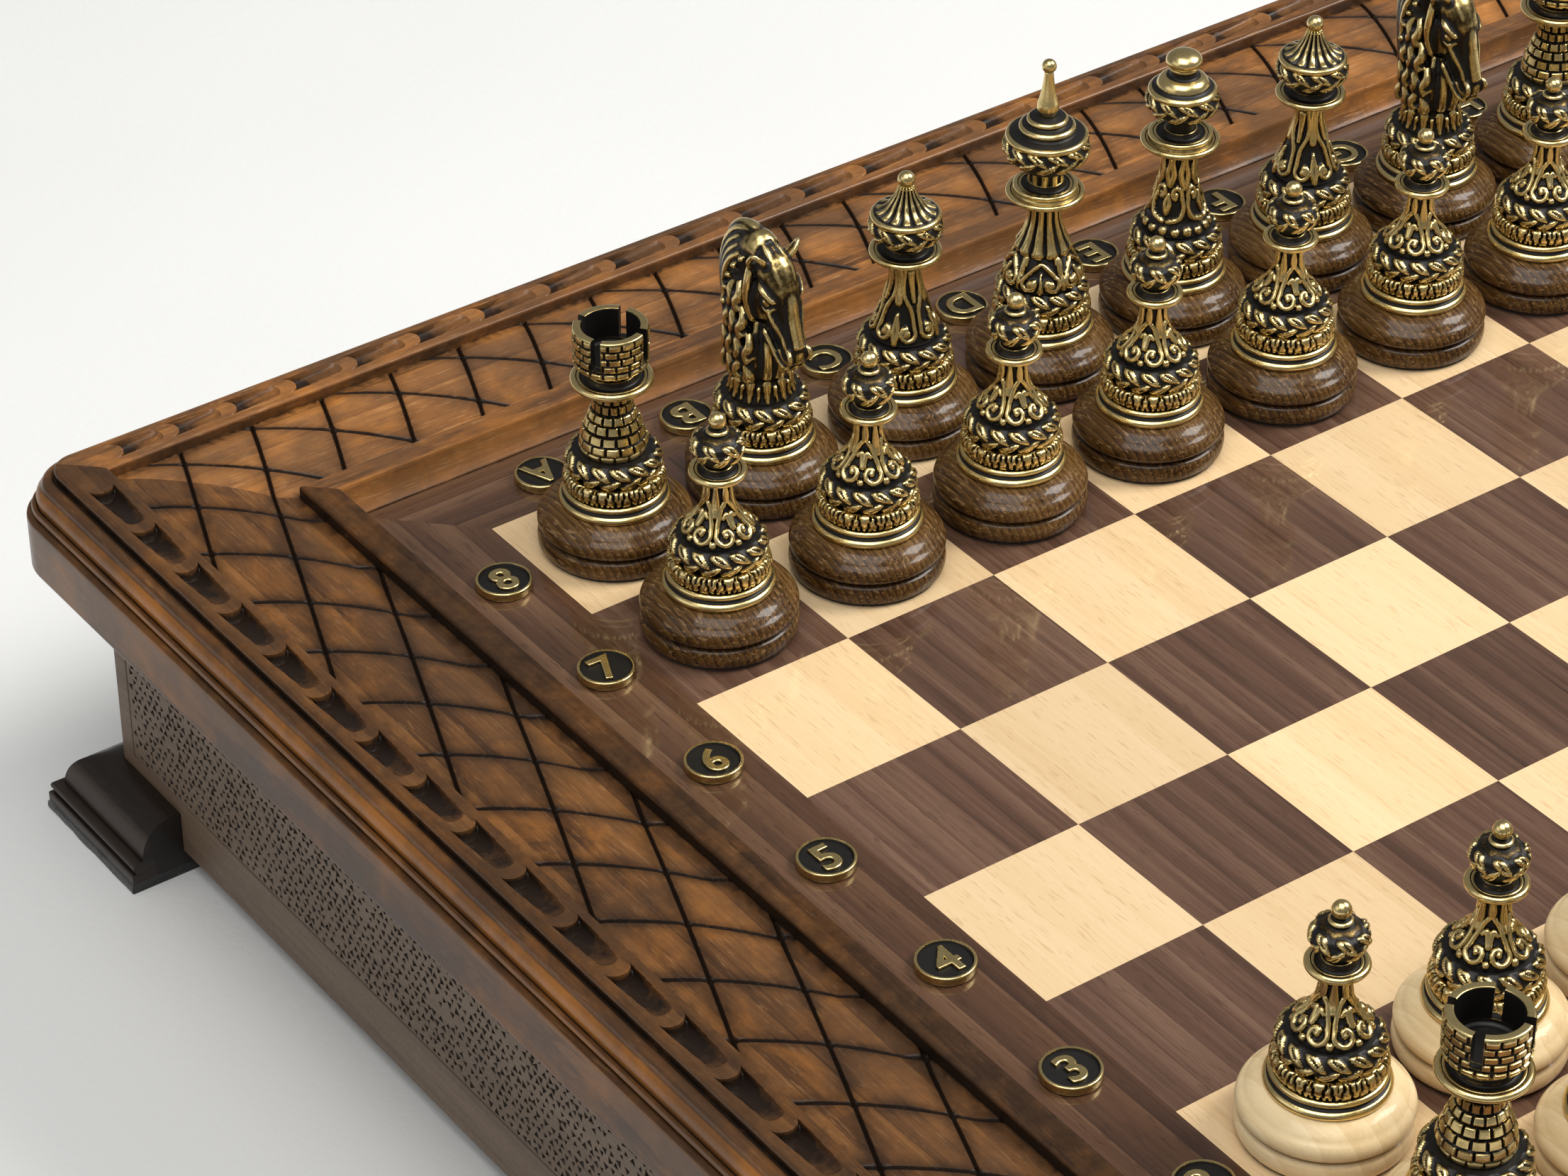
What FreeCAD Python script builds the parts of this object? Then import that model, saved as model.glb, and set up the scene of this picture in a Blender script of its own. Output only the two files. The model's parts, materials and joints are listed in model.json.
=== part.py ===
import FreeCAD, Part
import math
import os

# Chess set with board: a raised, moulded walnut board on four corner feet, with 32 turned pieces.
# Millimetres. +X runs from file a to file h, +Y from rank 1 to rank 8, +Z up.
# The origin is the centre of the board's footprint, on the surface that it stands on.

# ---------------------------------------------------------------- driving dimensions
SQUARE = 45.0            # side of one square of the playing field
SQUARES_PER_SIDE = 8
PLAY_Z = 105.0           # playing surface above the table
BOARD_HALF = 270.0       # half of the board's outer width
FELT_FOOT = 3.0          # felt under the feet
VENEER = 0.8             # thickness of the squares and of their border

HALF_FIELD = SQUARE * SQUARES_PER_SIDE / 2

# Offsets outwards from the edge of the field, and heights above (+) or below (-) the playing surface.
BORDER_WIDTH = 24.0
LEDGE_WIDTH = 11.0
LEDGE_TOP = 8.0
LEDGE_INNER_TOP = 27.0   # offset where the ledge's cove reaches its flat top
COVE_HOLLOW = 0.7
RAIL_OUTER = BOARD_HALF - HALF_FIELD
RAIL_INNER = BORDER_WIDTH + LEDGE_WIDTH
RAIL_LIP = 20.0          # offset of the rail's lip under the playing panel
PANEL_THICK = 12.0
RAIL_BOTTOM = -21.0
FASCIA_TOP = -4.7
CORNER_RADIUS = 15.0     # rounding of the frame's corners in plan
STRIP_INNER = 69.8       # the fluted strip that runs round the frame
STRIP_OUTER = 82.0
STRIP_TOP = 8.0
CARVED_INNER_Z = 2.5     # the carved band between the ledge and the fluted strip
CARVED_OUTER_Z = 4.6
CARVED_CROWN = 2.3       # how far its round back stands above a flat one
BEAD_TOP_Z = 4.6
BEAD_BULGE = 1.7
BEAD_OUTER = 87.0
FILLET_OUTER = 88.4
FILLET_Z = -2.2
COVE_Z = -4.4
COVE_OUTER = 88.0

FLUTE_PITCH = 21.0       # thumbnail flutes along the strip
FLUTE_LAND = 4.0         # left standing between one flute and the next
FLUTE_RADIUS = 3.4
FLUTE_DEPTH = 1.8
FLUTE_START = 243.6      # deep end of the first flute of a file side, from the middle
SHORT_FLUTES = 6         # the first flutes of a rank side are shorter
SHORT_FLUTE_PITCH = 16.3
SHORT_FLUTE_START = 245.7

APRON_OUTER = 72.4
APRON_THICK = 12.0
APRON_BOTTOM = -97.5

FOOT_TOP = -85.0
FOOT_OUTER = 88.0
FOOT_INNER = 48.0
FOOT_LENGTH = 45.0       # length of each arm, from the foot's outer corner
FOOT_PLINTH = 3.0
FOOT_TORUS = 3.6
FOOT_OVOLO_BULGE = 3.4
FOOT_SCREW_OFFSET = 66.4  # the feet's screws stand in the middle of the apron's thickness
FOOT_SCREW_ALONG = 58.0   # and this far out from the field along the apron
FELT_OVERHANG = 0.6

MEDALLION_RADIUS = 7.2
MEDALLION_THICK = 2.5
MEDALLION_RECESS = 0.9
MEDALLION_RIM = 0.9
MEDALLION_OFFSET = 11.0

BOTTOM_PANEL_THICK = 6.0
BOTTOM_PANEL_Z = 10.0
BLOCK_SIDE = 26.0
SCREW_SHANK = 1.6
SCREW_HEAD = 3.4
SCREW_HEAD_THICK = 2.2
BOTTOM_SCREW_LENGTH = 18.0
FOOT_SCREW_LENGTH = 14.0

# ---------------------------------------------------------------- driving dimensions of the pieces
PIECE_FELT = 0.9
PIECE_FELT_RADIUS = 18.6
BASE_RADIUS = 19.6
BASE_TOP = 13.8
BASE_TOP_RADIUS = 13.9
BASE_SCREW_RADIUS = 2.0
BASE_SCREW_HEAD_RADIUS = 4.0
BASE_SCREW_HEAD_THICK = 2.6
BASE_SCREW_TOP = 24.0

RANKS_OF_DARK = (8, 7)
RANKS_OF_LIGHT = (1, 2)
BACK_ROW = ("rook", "knight", "bishop", "spire_piece", "ball_piece", "bishop", "knight", "rook")
FILES = "abcdefgh"

ORIGIN = FreeCAD.Vector(0, 0, 0)
UP = FreeCAD.Vector(0, 0, 1)
MITRE_NORMAL = FreeCAD.Vector(1, 1, 0)  # normal of the mirror plane through the a8 corner
QUARTER_TURNS = (0, 90, 180, 270)


# ---------------------------------------------------------------- helpers
def vector(x, y, z=0.0):
    return FreeCAD.Vector(x, y, z)


def arc_middle(start, end, bulge):
    """The middle of an arc that stands `bulge` off its chord, to the right of the way it runs."""
    run = (end[0] - start[0], end[1] - start[1])
    length = math.hypot(*run)
    across = (run[1] / length, -run[0] / length)
    return (
        (start[0] + end[0]) / 2 + across[0] * bulge,
        (start[1] + end[1]) / 2 + across[1] * bulge,
    )


def wire_from(outline, place):
    """A closed wire along an outline. An entry (a, b) ends a straight run, and an entry
    (a, b, bulge) ends an arc. place() makes a point in space from a and b."""
    edges = []
    here = outline[0]
    for entry in outline[1:] + [outline[0]]:
        end = entry[:2]
        if end == here:
            continue
        if len(entry) == 3:
            middle = arc_middle(here, end, entry[2])
            edges.append(Part.Arc(place(*here), place(*middle), place(*end)).toShape())
        else:
            edges.append(Part.makeLine(place(*here), place(*end)))
        here = end
    return Part.Wire(edges)


def turned(outline):
    """A solid of revolution about Z from an outline of (radius, height) entries."""
    wire = wire_from(outline, lambda radius, height: vector(radius, 0, height))
    solid = Part.Face(wire).revolve(ORIGIN, UP, 360)
    return Part.Solid(solid.Shells[0])


def prism(outline, low, high):
    """A vertical prism between two heights, from an outline in plan."""
    wire = wire_from(outline, lambda x, y: vector(x, y, low))
    return Part.Face(wire).extrude(vector(0, 0, high - low))


def cylinder(radius, low, high, x=0.0, y=0.0):
    return Part.makeCylinder(radius, high - low, vector(x, y, low))


def turned_about_z(shape, degrees):
    copy = shape.copy()
    copy.rotate(ORIGIN, UP, degrees)
    return copy


def moved(shape, x, y, z=0.0):
    copy = shape.copy()
    copy.translate(vector(x, y, z))
    return copy


def height(above_play):
    """Height above the table of a level given from the playing surface."""
    return PLAY_Z + above_play


def mitred_side(inner, outer, corner_radius=0.0):
    """Plan of one side of a mitred square ring, on the board's -X side.
    inner and outer are offsets from the edge of the field."""
    near = HALF_FIELD + inner
    far = HALF_FIELD + outer
    if corner_radius == 0:
        return [(-near, -near), (-far, -far), (-far, far), (-near, near)]
    centre = far - corner_radius
    mitre = centre + corner_radius * math.cos(math.pi / 4)
    bulge = -corner_radius * (1 - math.cos(math.pi / 8))
    return [
        (-near, -near),
        (-mitre, -mitre),
        (-far, -centre, bulge),
        (-far, centre),
        (-mitre, mitre, bulge),
        (-near, near),
    ]


def long_profile(outline, length):
    """A bar along Y on the board's -X side, from an outline of (offset, height above play)."""
    wire = wire_from(
        outline,
        lambda offset, level: vector(-HALF_FIELD - offset, -length / 2, height(level)),
    )
    return Part.Face(wire).extrude(vector(0, length, 0))


# ---------------------------------------------------------------- the board
def rail_profile():
    """Section of the frame, from the lip under the playing panel outwards."""
    panel_bottom = -VENEER - PANEL_THICK
    return [
        (RAIL_LIP, RAIL_BOTTOM),
        (RAIL_LIP, panel_bottom),
        (RAIL_INNER, panel_bottom),
        (RAIL_INNER, CARVED_INNER_Z),
        (STRIP_INNER, CARVED_OUTER_Z, -CARVED_CROWN),
        (STRIP_INNER, STRIP_TOP),
        (STRIP_OUTER, STRIP_TOP - 0.4),
        (STRIP_OUTER, BEAD_TOP_Z),
        (BEAD_OUTER, FILLET_Z, -BEAD_BULGE),
        (FILLET_OUTER, FILLET_Z),
        (COVE_OUTER, COVE_Z),
        (RAIL_OUTER, FASCIA_TOP),
        (RAIL_OUTER, RAIL_BOTTOM),
    ]


def thumbnail_flute(length):
    """Cutter of one flute from the origin towards -Y: a round-bottomed trough, deep at the start,
    that runs out at the end."""
    tilt = math.degrees(math.atan2(FLUTE_DEPTH, length))
    trough = Part.makeCylinder(FLUTE_RADIUS, length, ORIGIN, vector(0, -1, 0))
    trough.translate(vector(0, 0, FLUTE_RADIUS - FLUTE_DEPTH))
    trough.rotate(ORIGIN, vector(1, 0, 0), -tilt)
    return trough


def flute_cutters(start, first_pitch):
    """One side's row of flutes, along the middle of the fluted strip. The pitch grows from
    first_pitch to the full pitch over the first few."""
    strip_middle = -HALF_FIELD - (STRIP_INNER + STRIP_OUTER) / 2
    cutters = []
    place = start
    while place > FLUTE_PITCH - start:
        growth = min(1.0, len(cutters) / SHORT_FLUTES)
        pitch = first_pitch + (FLUTE_PITCH - first_pitch) * growth
        cutter = thumbnail_flute(pitch - FLUTE_LAND)
        cutters.append(moved(cutter, strip_middle, place, height(STRIP_TOP)))
        place -= pitch
    return cutters


def frame_rail(cutters):
    """The moulded rail of the -X side, with mitred ends and rounded outer corners."""
    bar = long_profile(rail_profile(), 2 * BOARD_HALF)
    plan = mitred_side(RAIL_LIP, RAIL_OUTER, CORNER_RADIUS)
    blank = prism(plan, height(RAIL_BOTTOM), height(STRIP_TOP))
    return bar.common(blank).cut(cutters)


def frame_rails():
    """The four rails. Their flutes run away from the a8 corner on both sides of it, so the
    rails are mirror images of each other and not turned copies."""
    a_side = frame_rail(flute_cutters(FLUTE_START, FLUTE_PITCH))
    short_start = frame_rail(flute_cutters(SHORT_FLUTE_START, SHORT_FLUTE_PITCH))
    rank_8_side = short_start.mirror(ORIGIN, MITRE_NORMAL)
    h_side = a_side.mirror(ORIGIN, vector(1, 0))
    rank_1_side = rank_8_side.mirror(ORIGIN, vector(0, 1))
    return [a_side, rank_1_side, h_side, rank_8_side]


def ledge_strip():
    """Flat strip inside the carved band, with a hollow cove down to the veneer border."""
    outline = [
        (BORDER_WIDTH, -VENEER),
        (BORDER_WIDTH, 0.6),
        (LEDGE_INNER_TOP, LEDGE_TOP, COVE_HOLLOW),
        (RAIL_INNER, LEDGE_TOP - 0.4),
        (RAIL_INNER, -VENEER),
    ]
    bar = long_profile(outline, 2 * BOARD_HALF)
    plan = mitred_side(BORDER_WIDTH, RAIL_INNER)
    return bar.common(prism(plan, height(-VENEER), height(LEDGE_TOP)))


def apron_panel():
    plan = mitred_side(APRON_OUTER - APRON_THICK, APRON_OUTER)
    panel = prism(plan, height(APRON_BOTTOM), height(RAIL_BOTTOM))
    screw_tip = FELT_FOOT + SCREW_HEAD_THICK + FOOT_SCREW_LENGTH
    return panel.cut(foot_screw_holes(SCREW_SHANK, height(APRON_BOTTOM), screw_tip))


def foot_profile():
    """Section of a foot: an ovolo, a quirk, a small torus and a plinth outside the apron, and
    a flange that passes under it."""
    bottom = FELT_FOOT - PLAY_Z
    plinth_top = bottom + FOOT_PLINTH
    torus_top = plinth_top + FOOT_TORUS
    return [
        (FOOT_INNER, bottom),
        (FOOT_OUTER, bottom),
        (FOOT_OUTER, plinth_top),
        (FOOT_OUTER - 1.8, torus_top, FOOT_TORUS / 4),
        (FOOT_OUTER - 3.2, torus_top),
        (APRON_OUTER, FOOT_TOP, FOOT_OVOLO_BULGE),
        (APRON_OUTER, APRON_BOTTOM),
        (FOOT_INNER, APRON_BOTTOM),
    ]


def corner_foot():
    """Two moulded arms that meet in a mitre at the board's (-X, +Y) corner."""
    bar = long_profile(foot_profile(), 2 * BOARD_HALF)
    near = HALF_FIELD + FOOT_INNER
    far = HALF_FIELD + FOOT_OUTER
    cut_end = far - FOOT_LENGTH
    half_plan = [(-far, cut_end), (-far, far), (-near, near), (-near, cut_end)]
    arm = bar.common(prism(half_plan, FELT_FOOT, height(FOOT_TOP)))
    other_arm = arm.mirror(ORIGIN, MITRE_NORMAL)
    foot = arm.fuse(other_arm).removeSplitter()
    return foot.cut(foot_screw_holes(SCREW_HEAD, FELT_FOOT, FELT_FOOT + SCREW_HEAD_THICK)).cut(
        foot_screw_holes(SCREW_SHANK, FELT_FOOT, height(APRON_BOTTOM))
    )


def foot_screw_places():
    """Plan positions of the eight screws that hold the feet, two at each corner."""
    line = HALF_FIELD + FOOT_SCREW_OFFSET
    along = HALF_FIELD + FOOT_SCREW_ALONG
    corners = [(x, y) for x in (-1, 1) for y in (-1, 1)]
    places = [(x * line, y * along) for x, y in corners]
    return places + [(x * along, y * line) for x, y in corners]


def foot_screw_holes(radius, low, high):
    return [cylinder(radius, low, high, x, y) for x, y in foot_screw_places()]


def foot_screws():
    screw = wood_screw(FOOT_SCREW_LENGTH)
    seat = FELT_FOOT + SCREW_HEAD_THICK
    return [moved(screw, x, y, seat) for x, y in foot_screw_places()]


def foot_felt():
    near = HALF_FIELD + FOOT_INNER
    far = HALF_FIELD + FOOT_OUTER + FELT_OVERHANG
    cut_end = far - FELT_OVERHANG - FOOT_LENGTH
    plan = [
        (-far, cut_end),
        (-far, far),
        (-cut_end, far),
        (-cut_end, near),
        (-near, near),
        (-near, cut_end),
    ]
    return prism(plan, 0, FELT_FOOT)


def square_plate(half_side, low, high):
    corner = vector(-half_side, -half_side, low)
    return Part.makeBox(2 * half_side, 2 * half_side, high - low, corner)


def playing_panel():
    top = height(-VENEER)
    return square_plate(HALF_FIELD + RAIL_INNER, top - PANEL_THICK, top)


def bottom_panel():
    half_side = HALF_FIELD + APRON_OUTER - APRON_THICK
    plate = square_plate(half_side, BOTTOM_PANEL_Z, BOTTOM_PANEL_Z + BOTTOM_PANEL_THICK)
    holes = [cylinder(SCREW_SHANK, 0, PLAY_Z, x, y) for x, y in block_centres()]
    return plate.cut(holes)


def square_tiles(colour_parity):
    """The squares of one colour. a1 is dark: its file and rank add up to an even number."""
    tiles = []
    for file_index in range(SQUARES_PER_SIDE):
        for rank_index in range(SQUARES_PER_SIDE):
            if (file_index + rank_index) % 2 == colour_parity:
                corner = vector(
                    file_index * SQUARE - HALF_FIELD,
                    rank_index * SQUARE - HALF_FIELD,
                    height(-VENEER),
                )
                tiles.append(Part.makeBox(SQUARE, SQUARE, VENEER, corner))
    return tiles


def border_strip():
    return prism(mitred_side(0, BORDER_WIDTH), height(-VENEER), PLAY_Z)


def medallion():
    """A brass disc with a raised rim, standing at the origin."""
    disc = cylinder(MEDALLION_RADIUS, 0, MEDALLION_THICK)
    recess_radius = MEDALLION_RADIUS - MEDALLION_RIM
    recess = cylinder(recess_radius, MEDALLION_THICK - MEDALLION_RECESS, MEDALLION_THICK)
    return disc.cut(recess)


def medallions(along_files):
    """The 16 discs beside the ranks, or the 16 beyond the ends of the files."""
    disc = medallion()
    line = HALF_FIELD + MEDALLION_OFFSET
    discs = []
    for side in (-1, 1):
        for index in range(SQUARES_PER_SIDE):
            along = (index + 0.5) * SQUARE - HALF_FIELD
            x, y = (along, side * line) if along_files else (side * line, along)
            discs.append(moved(disc, x, y, PLAY_Z))
    return discs


def block_centres():
    """Plan positions of the glue blocks, one in each inner corner of the apron."""
    reach = HALF_FIELD + APRON_OUTER - APRON_THICK - BLOCK_SIDE / 2
    return [(x * reach, y * reach) for x in (-1, 1) for y in (-1, 1)]


def corner_blocks():
    """Glue blocks between the bottom panel and the rails, with a pilot hole for each screw."""
    low = BOTTOM_PANEL_Z + BOTTOM_PANEL_THICK
    blocks = []
    for x, y in block_centres():
        corner = vector(x - BLOCK_SIDE / 2, y - BLOCK_SIDE / 2, low)
        block = Part.makeBox(BLOCK_SIDE, BLOCK_SIDE, height(RAIL_BOTTOM) - low, corner)
        pilot = cylinder(SCREW_SHANK, low, BOTTOM_PANEL_Z + BOTTOM_SCREW_LENGTH, x, y)
        blocks.append(block.cut(pilot))
    return blocks


def wood_screw(length):
    """A round-headed screw that points up from the origin, with its head below it."""
    return turned(
        [
            (0, -SCREW_HEAD_THICK),
            (SCREW_HEAD * 0.6, -SCREW_HEAD_THICK),
            (SCREW_HEAD, 0, SCREW_HEAD_THICK / 5),
            (SCREW_SHANK, 0),
            (SCREW_SHANK, length - 2 * SCREW_SHANK),
            (0, length),
        ]
    )


def bottom_screws():
    screw = wood_screw(BOTTOM_SCREW_LENGTH)
    return [moved(screw, x, y, BOTTOM_PANEL_Z) for x, y in block_centres()]


# ---------------------------------------------------------------- the pieces
# Outlines are (radius, height above the board) entries, from the axis outwards and back to it.
def wooden_base():
    """Lower band, quirk, bulging ring and domed shoulder, bored for the fixing screw."""
    blank = turned(
        [
            (0, PIECE_FELT),
            (BASE_RADIUS - 0.4, PIECE_FELT),
            (BASE_RADIUS - 0.5, 5.6, 0.4),
            (BASE_RADIUS - 1.5, 6.0),
            (BASE_RADIUS - 1.4, 6.6),
            (BASE_RADIUS, 8.4, 0.4),
            (BASE_TOP_RADIUS, BASE_TOP, 1.2),
            (0, BASE_TOP),
        ]
    )
    shank_hole = cylinder(BASE_SCREW_RADIUS, 0, BASE_TOP)
    head_hole = cylinder(BASE_SCREW_HEAD_RADIUS, 0, PIECE_FELT + BASE_SCREW_HEAD_THICK)
    return blank.cut([shank_hole, head_hole])


def base_screw():
    """The screw that pulls the brass figure down on its wooden base."""
    head = cylinder(BASE_SCREW_HEAD_RADIUS, PIECE_FELT, PIECE_FELT + BASE_SCREW_HEAD_THICK)
    shank = cylinder(BASE_SCREW_RADIUS, PIECE_FELT, BASE_SCREW_TOP)
    return head.fuse(shank).removeSplitter()


def foot_rings():
    """The rings that every brass figure stands on: two plain ones, a rope and a laurel wreath."""
    return [
        (0, BASE_TOP),
        (13.3, BASE_TOP),
        (13.3, 15.8, 0.5),
        (12.9, 16.2),
        (12.8, 18.0, 0.4),
        (11.6, 18.2),
        (11.4, 22.4, 1.1),
        (10.6, 22.6),
        (10.2, 28.6, 1.9),
    ]


def collar(radius, low, high, neck):
    """A round-edged disc on a neck, from its underside at low to its top at high."""
    return [
        (neck, low - 0.5),
        (radius - 0.8, low),
        (radius - 0.8, high, (high - low) / 2),
    ]


def dome(radius, low, top):
    """The arc from a rim of this radius at low up to the axis at top, as part of a sphere."""
    rise = top - low
    chord_squared = radius**2 + rise**2
    sphere = chord_squared / (2 * rise)
    bulge = sphere - math.sqrt(sphere**2 - chord_squared / 4)
    return [(radius, low), (0, top, bulge)]


def pawn():
    return (
        foot_rings()
        + [(8.6, 29.2), (2.7, 41.8, -1.6)]
        + collar(7.2, 45.4, 47.3, 2.9)
        + [(3.6, 47.4), (3.5, 49.2), (6.6, 53.6, 0.5), (5.2, 56.6, 0.4), (2.3, 58.2)]
        + dome(1.3, 58.9, 62.8)
    )


def bishop():
    return (
        foot_rings()
        + [(8.8, 29.2), (3.4, 46.2, -1.2)]
        + collar(9.4, 51.8, 53.5, 3.4)
        + [(5.0, 54.4), (5.4, 56.6), (9.4, 60.0, 0.7), (8.6, 63.6, 0.6), (1.6, 71.4, -1.4)]
        + dome(1.5, 71.6, 75.8)
    )


def spire_piece():
    return (
        foot_rings()
        + [(10.2, 29.2), (5.8, 38.2, 0.8), (6.9, 38.8), (3.9, 47.4, -1.0)]
        + collar(10.4, 53.6, 55.3, 3.8)
        + [(8.0, 55.5), (8.0, 56.9, 0.5), (5.0, 57.2), (5.0, 62.8)]
        + [(11.0, 67.0, 1.2), (10.6, 71.8, 0.5), (7.0, 73.2), (6.8, 74.8), (5.2, 75.0)]
        + [(4.8, 76.6), (1.9, 78.2), (2.6, 80.6, 0.2), (1.1, 88.4, -0.2)]
        + dome(1.0, 89.2, 92.9)
    )


def ball_piece():
    return (
        foot_rings()
        + [(9.4, 29.2), (4.2, 47.4, -1.4)]
        + collar(10.6, 53.4, 55.2, 4.0)
        + [(8.6, 55.4), (8.6, 56.7, 0.5), (4.1, 57.2), (4.1, 61.6)]
        + [(9.5, 66.4, 1.2), (8.4, 70.2, 0.4), (4.5, 73.6, 0.6), (3.5, 74.8), (3.5, 75.4)]
        + [(4.8, 77.4, 0.4)]
        + dome(4.8, 77.4, 80.4)
    )


def rook():
    turret_outer = 9.3
    turret_inner = 7.4
    turret_floor = 55.0
    turret_top = 64.4
    return (
        foot_rings()
        + [(8.6, 28.8), (6.0, 28.8), (8.3, 31.6, 0.4), (4.9, 41.8, 0.5)]
        + collar(10.2, 48.2, 50.1, 4.9)
        + [(6.0, 50.2), (6.0, 52.0), (turret_outer - 0.9, 53.4), (turret_outer, 57.0)]
        + [(turret_outer, turret_top), (turret_inner, turret_top)]
        + [(turret_inner, turret_floor), (0, turret_floor)]
    )


def turret_slots():
    """Two crossed bars that cut the four gaps between the merlons."""
    width = 2.6
    reach = 24.0
    bar = Part.makeBox(width, reach, 10.0, vector(-width / 2, -reach / 2, 56.0))
    return [bar, turned_about_z(bar, 90)]


def knight_foot():
    return foot_rings() + [(9.6, 29.2), (7.2, 33.6, -0.5), (0, 33.6)]


def knight_head():
    """Horse's head and neck, facing -Y: a side outline of (y, z), with its thickness along X."""
    thickness = 11.0
    outline = [
        (7.0, 29.0),
        (9.6, 60.0, 1.9),
        (1.4, 72.6, 2.0),
        (-1.6, 74.0),
        (-4.6, 67.4),
        (-13.8, 46.6, 0.4),
        (-12.2, 42.6, 1.3),
        (-8.9, 45.2),
        (-3.6, 51.0, 0.2),
        (-8.4, 36.0, 0.4),
        (-7.0, 29.0),
    ]
    wire = wire_from(outline, lambda y, z: vector(-thickness / 2, y, z))
    return Part.Face(wire).extrude(vector(thickness, 0, 0))


def brass_figure(kind):
    """The brass figure of a piece, tapped for the fixing screw."""
    outlines = {
        "pawn": pawn,
        "rook": rook,
        "knight": knight_foot,
        "bishop": bishop,
        "spire_piece": spire_piece,
        "ball_piece": ball_piece,
    }
    figure = turned(outlines[kind]())
    if kind == "rook":
        figure = figure.cut(turret_slots())
    if kind == "knight":
        figure = figure.fuse(knight_head()).removeSplitter()
    tapped_hole = cylinder(BASE_SCREW_RADIUS, BASE_TOP, BASE_SCREW_TOP)
    return figure.cut(tapped_hole)


def piece_solids(kind):
    felt = cylinder(PIECE_FELT_RADIUS, 0, PIECE_FELT)
    return [felt, wooden_base(), base_screw(), brass_figure(kind)]


# ---------------------------------------------------------------- assembly and output
def board_nodes():
    nodes = {
        "playing_panel": [playing_panel()],
        "light_squares": square_tiles(1),
        "dark_squares": square_tiles(0),
        "veneer_border": [turned_about_z(border_strip(), turn) for turn in QUARTER_TURNS],
        "file_letter_medallions": medallions(True),
        "rank_number_medallions": medallions(False),
        "bottom_panel": [bottom_panel()],
        "corner_blocks": corner_blocks(),
        "bottom_screws": bottom_screws(),
        "foot_screws": foot_screws(),
    }
    side_names = ("a_side", "rank_1_side", "h_side", "rank_8_side")
    for name, rail in zip(side_names, frame_rails()):
        nodes["frame_rail_" + name] = [rail]
    for name, turn in zip(side_names, QUARTER_TURNS):
        nodes["ledge_strip_" + name] = [turned_about_z(ledge_strip(), turn)]
        nodes["apron_panel_" + name] = [turned_about_z(apron_panel(), turn)]
    corner_names = ("a8", "a1", "h1", "h8")
    for name, turn in zip(corner_names, QUARTER_TURNS):
        nodes["corner_foot_" + name] = [turned_about_z(corner_foot(), turn)]
    nodes["foot_felts"] = [turned_about_z(foot_felt(), turn) for turn in QUARTER_TURNS]
    return nodes


def stand_piece(solids, file_index, rank, faces_up_the_board):
    """A piece's solids on the centre of their square. As made, the pieces face -Y."""
    x = (file_index + 0.5) * SQUARE - HALF_FIELD
    y = (rank - 0.5) * SQUARE - HALF_FIELD
    turn = 180 if faces_up_the_board else 0
    return [moved(turned_about_z(solid, turn), x, y, PLAY_Z) for solid in solids]


def piece_nodes():
    solids = {kind: piece_solids(kind) for kind in set(BACK_ROW) | {"pawn"}}
    nodes = {}
    armies = (("dark", RANKS_OF_DARK, False), ("light", RANKS_OF_LIGHT, True))
    for army, (back_rank, pawn_rank), faces_up in armies:
        for index, (letter, kind) in enumerate(zip(FILES, BACK_ROW)):
            nodes[f"{army}_{kind}_{letter}"] = stand_piece(solids[kind], index, back_rank, faces_up)
            nodes[f"{army}_pawn_{letter}"] = stand_piece(solids["pawn"], index, pawn_rank, faces_up)
    return nodes


def write_nodes(nodes):
    os.makedirs("parts", exist_ok=True)
    for name, solids in sorted(nodes.items()):
        shape = solids[0] if len(solids) == 1 else Part.makeCompound(solids)
        shape.exportStep(os.path.join("parts", name + ".step"))
        size = shape.BoundBox
        print(f"{name}: {len(solids)} solids, {size.XLength:.1f} x {size.YLength:.1f} x {size.ZLength:.1f}")


nodes = board_nodes()
nodes.update(piece_nodes())
write_nodes(nodes)
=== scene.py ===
import json
import math

import bmesh
import bpy
import numpy as np
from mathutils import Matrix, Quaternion, Vector
from mathutils.geometry import delaunay_2d_cdt


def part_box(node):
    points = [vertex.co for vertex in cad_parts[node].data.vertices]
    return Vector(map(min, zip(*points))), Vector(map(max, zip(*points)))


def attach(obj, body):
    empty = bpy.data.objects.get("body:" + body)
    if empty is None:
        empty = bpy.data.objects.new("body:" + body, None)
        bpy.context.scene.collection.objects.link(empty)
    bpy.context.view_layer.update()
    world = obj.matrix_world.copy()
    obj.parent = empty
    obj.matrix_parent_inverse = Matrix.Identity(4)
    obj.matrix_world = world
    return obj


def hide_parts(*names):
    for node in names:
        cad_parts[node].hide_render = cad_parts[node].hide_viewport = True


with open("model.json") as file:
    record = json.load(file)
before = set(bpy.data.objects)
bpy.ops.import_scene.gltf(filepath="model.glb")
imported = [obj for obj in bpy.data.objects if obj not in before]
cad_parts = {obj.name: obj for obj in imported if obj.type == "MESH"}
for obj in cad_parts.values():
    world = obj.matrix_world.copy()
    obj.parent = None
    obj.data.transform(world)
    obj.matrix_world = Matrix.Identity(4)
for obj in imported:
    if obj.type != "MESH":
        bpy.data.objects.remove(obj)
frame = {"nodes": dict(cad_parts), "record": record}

# Looks of the chess set with board. Shapes are worked out in millimetres in the frame of the CAD
# model and turned into metres when a mesh is made.
MM = 0.001
TAU = 2 * math.pi
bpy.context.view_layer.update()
SEED = 11

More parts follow.
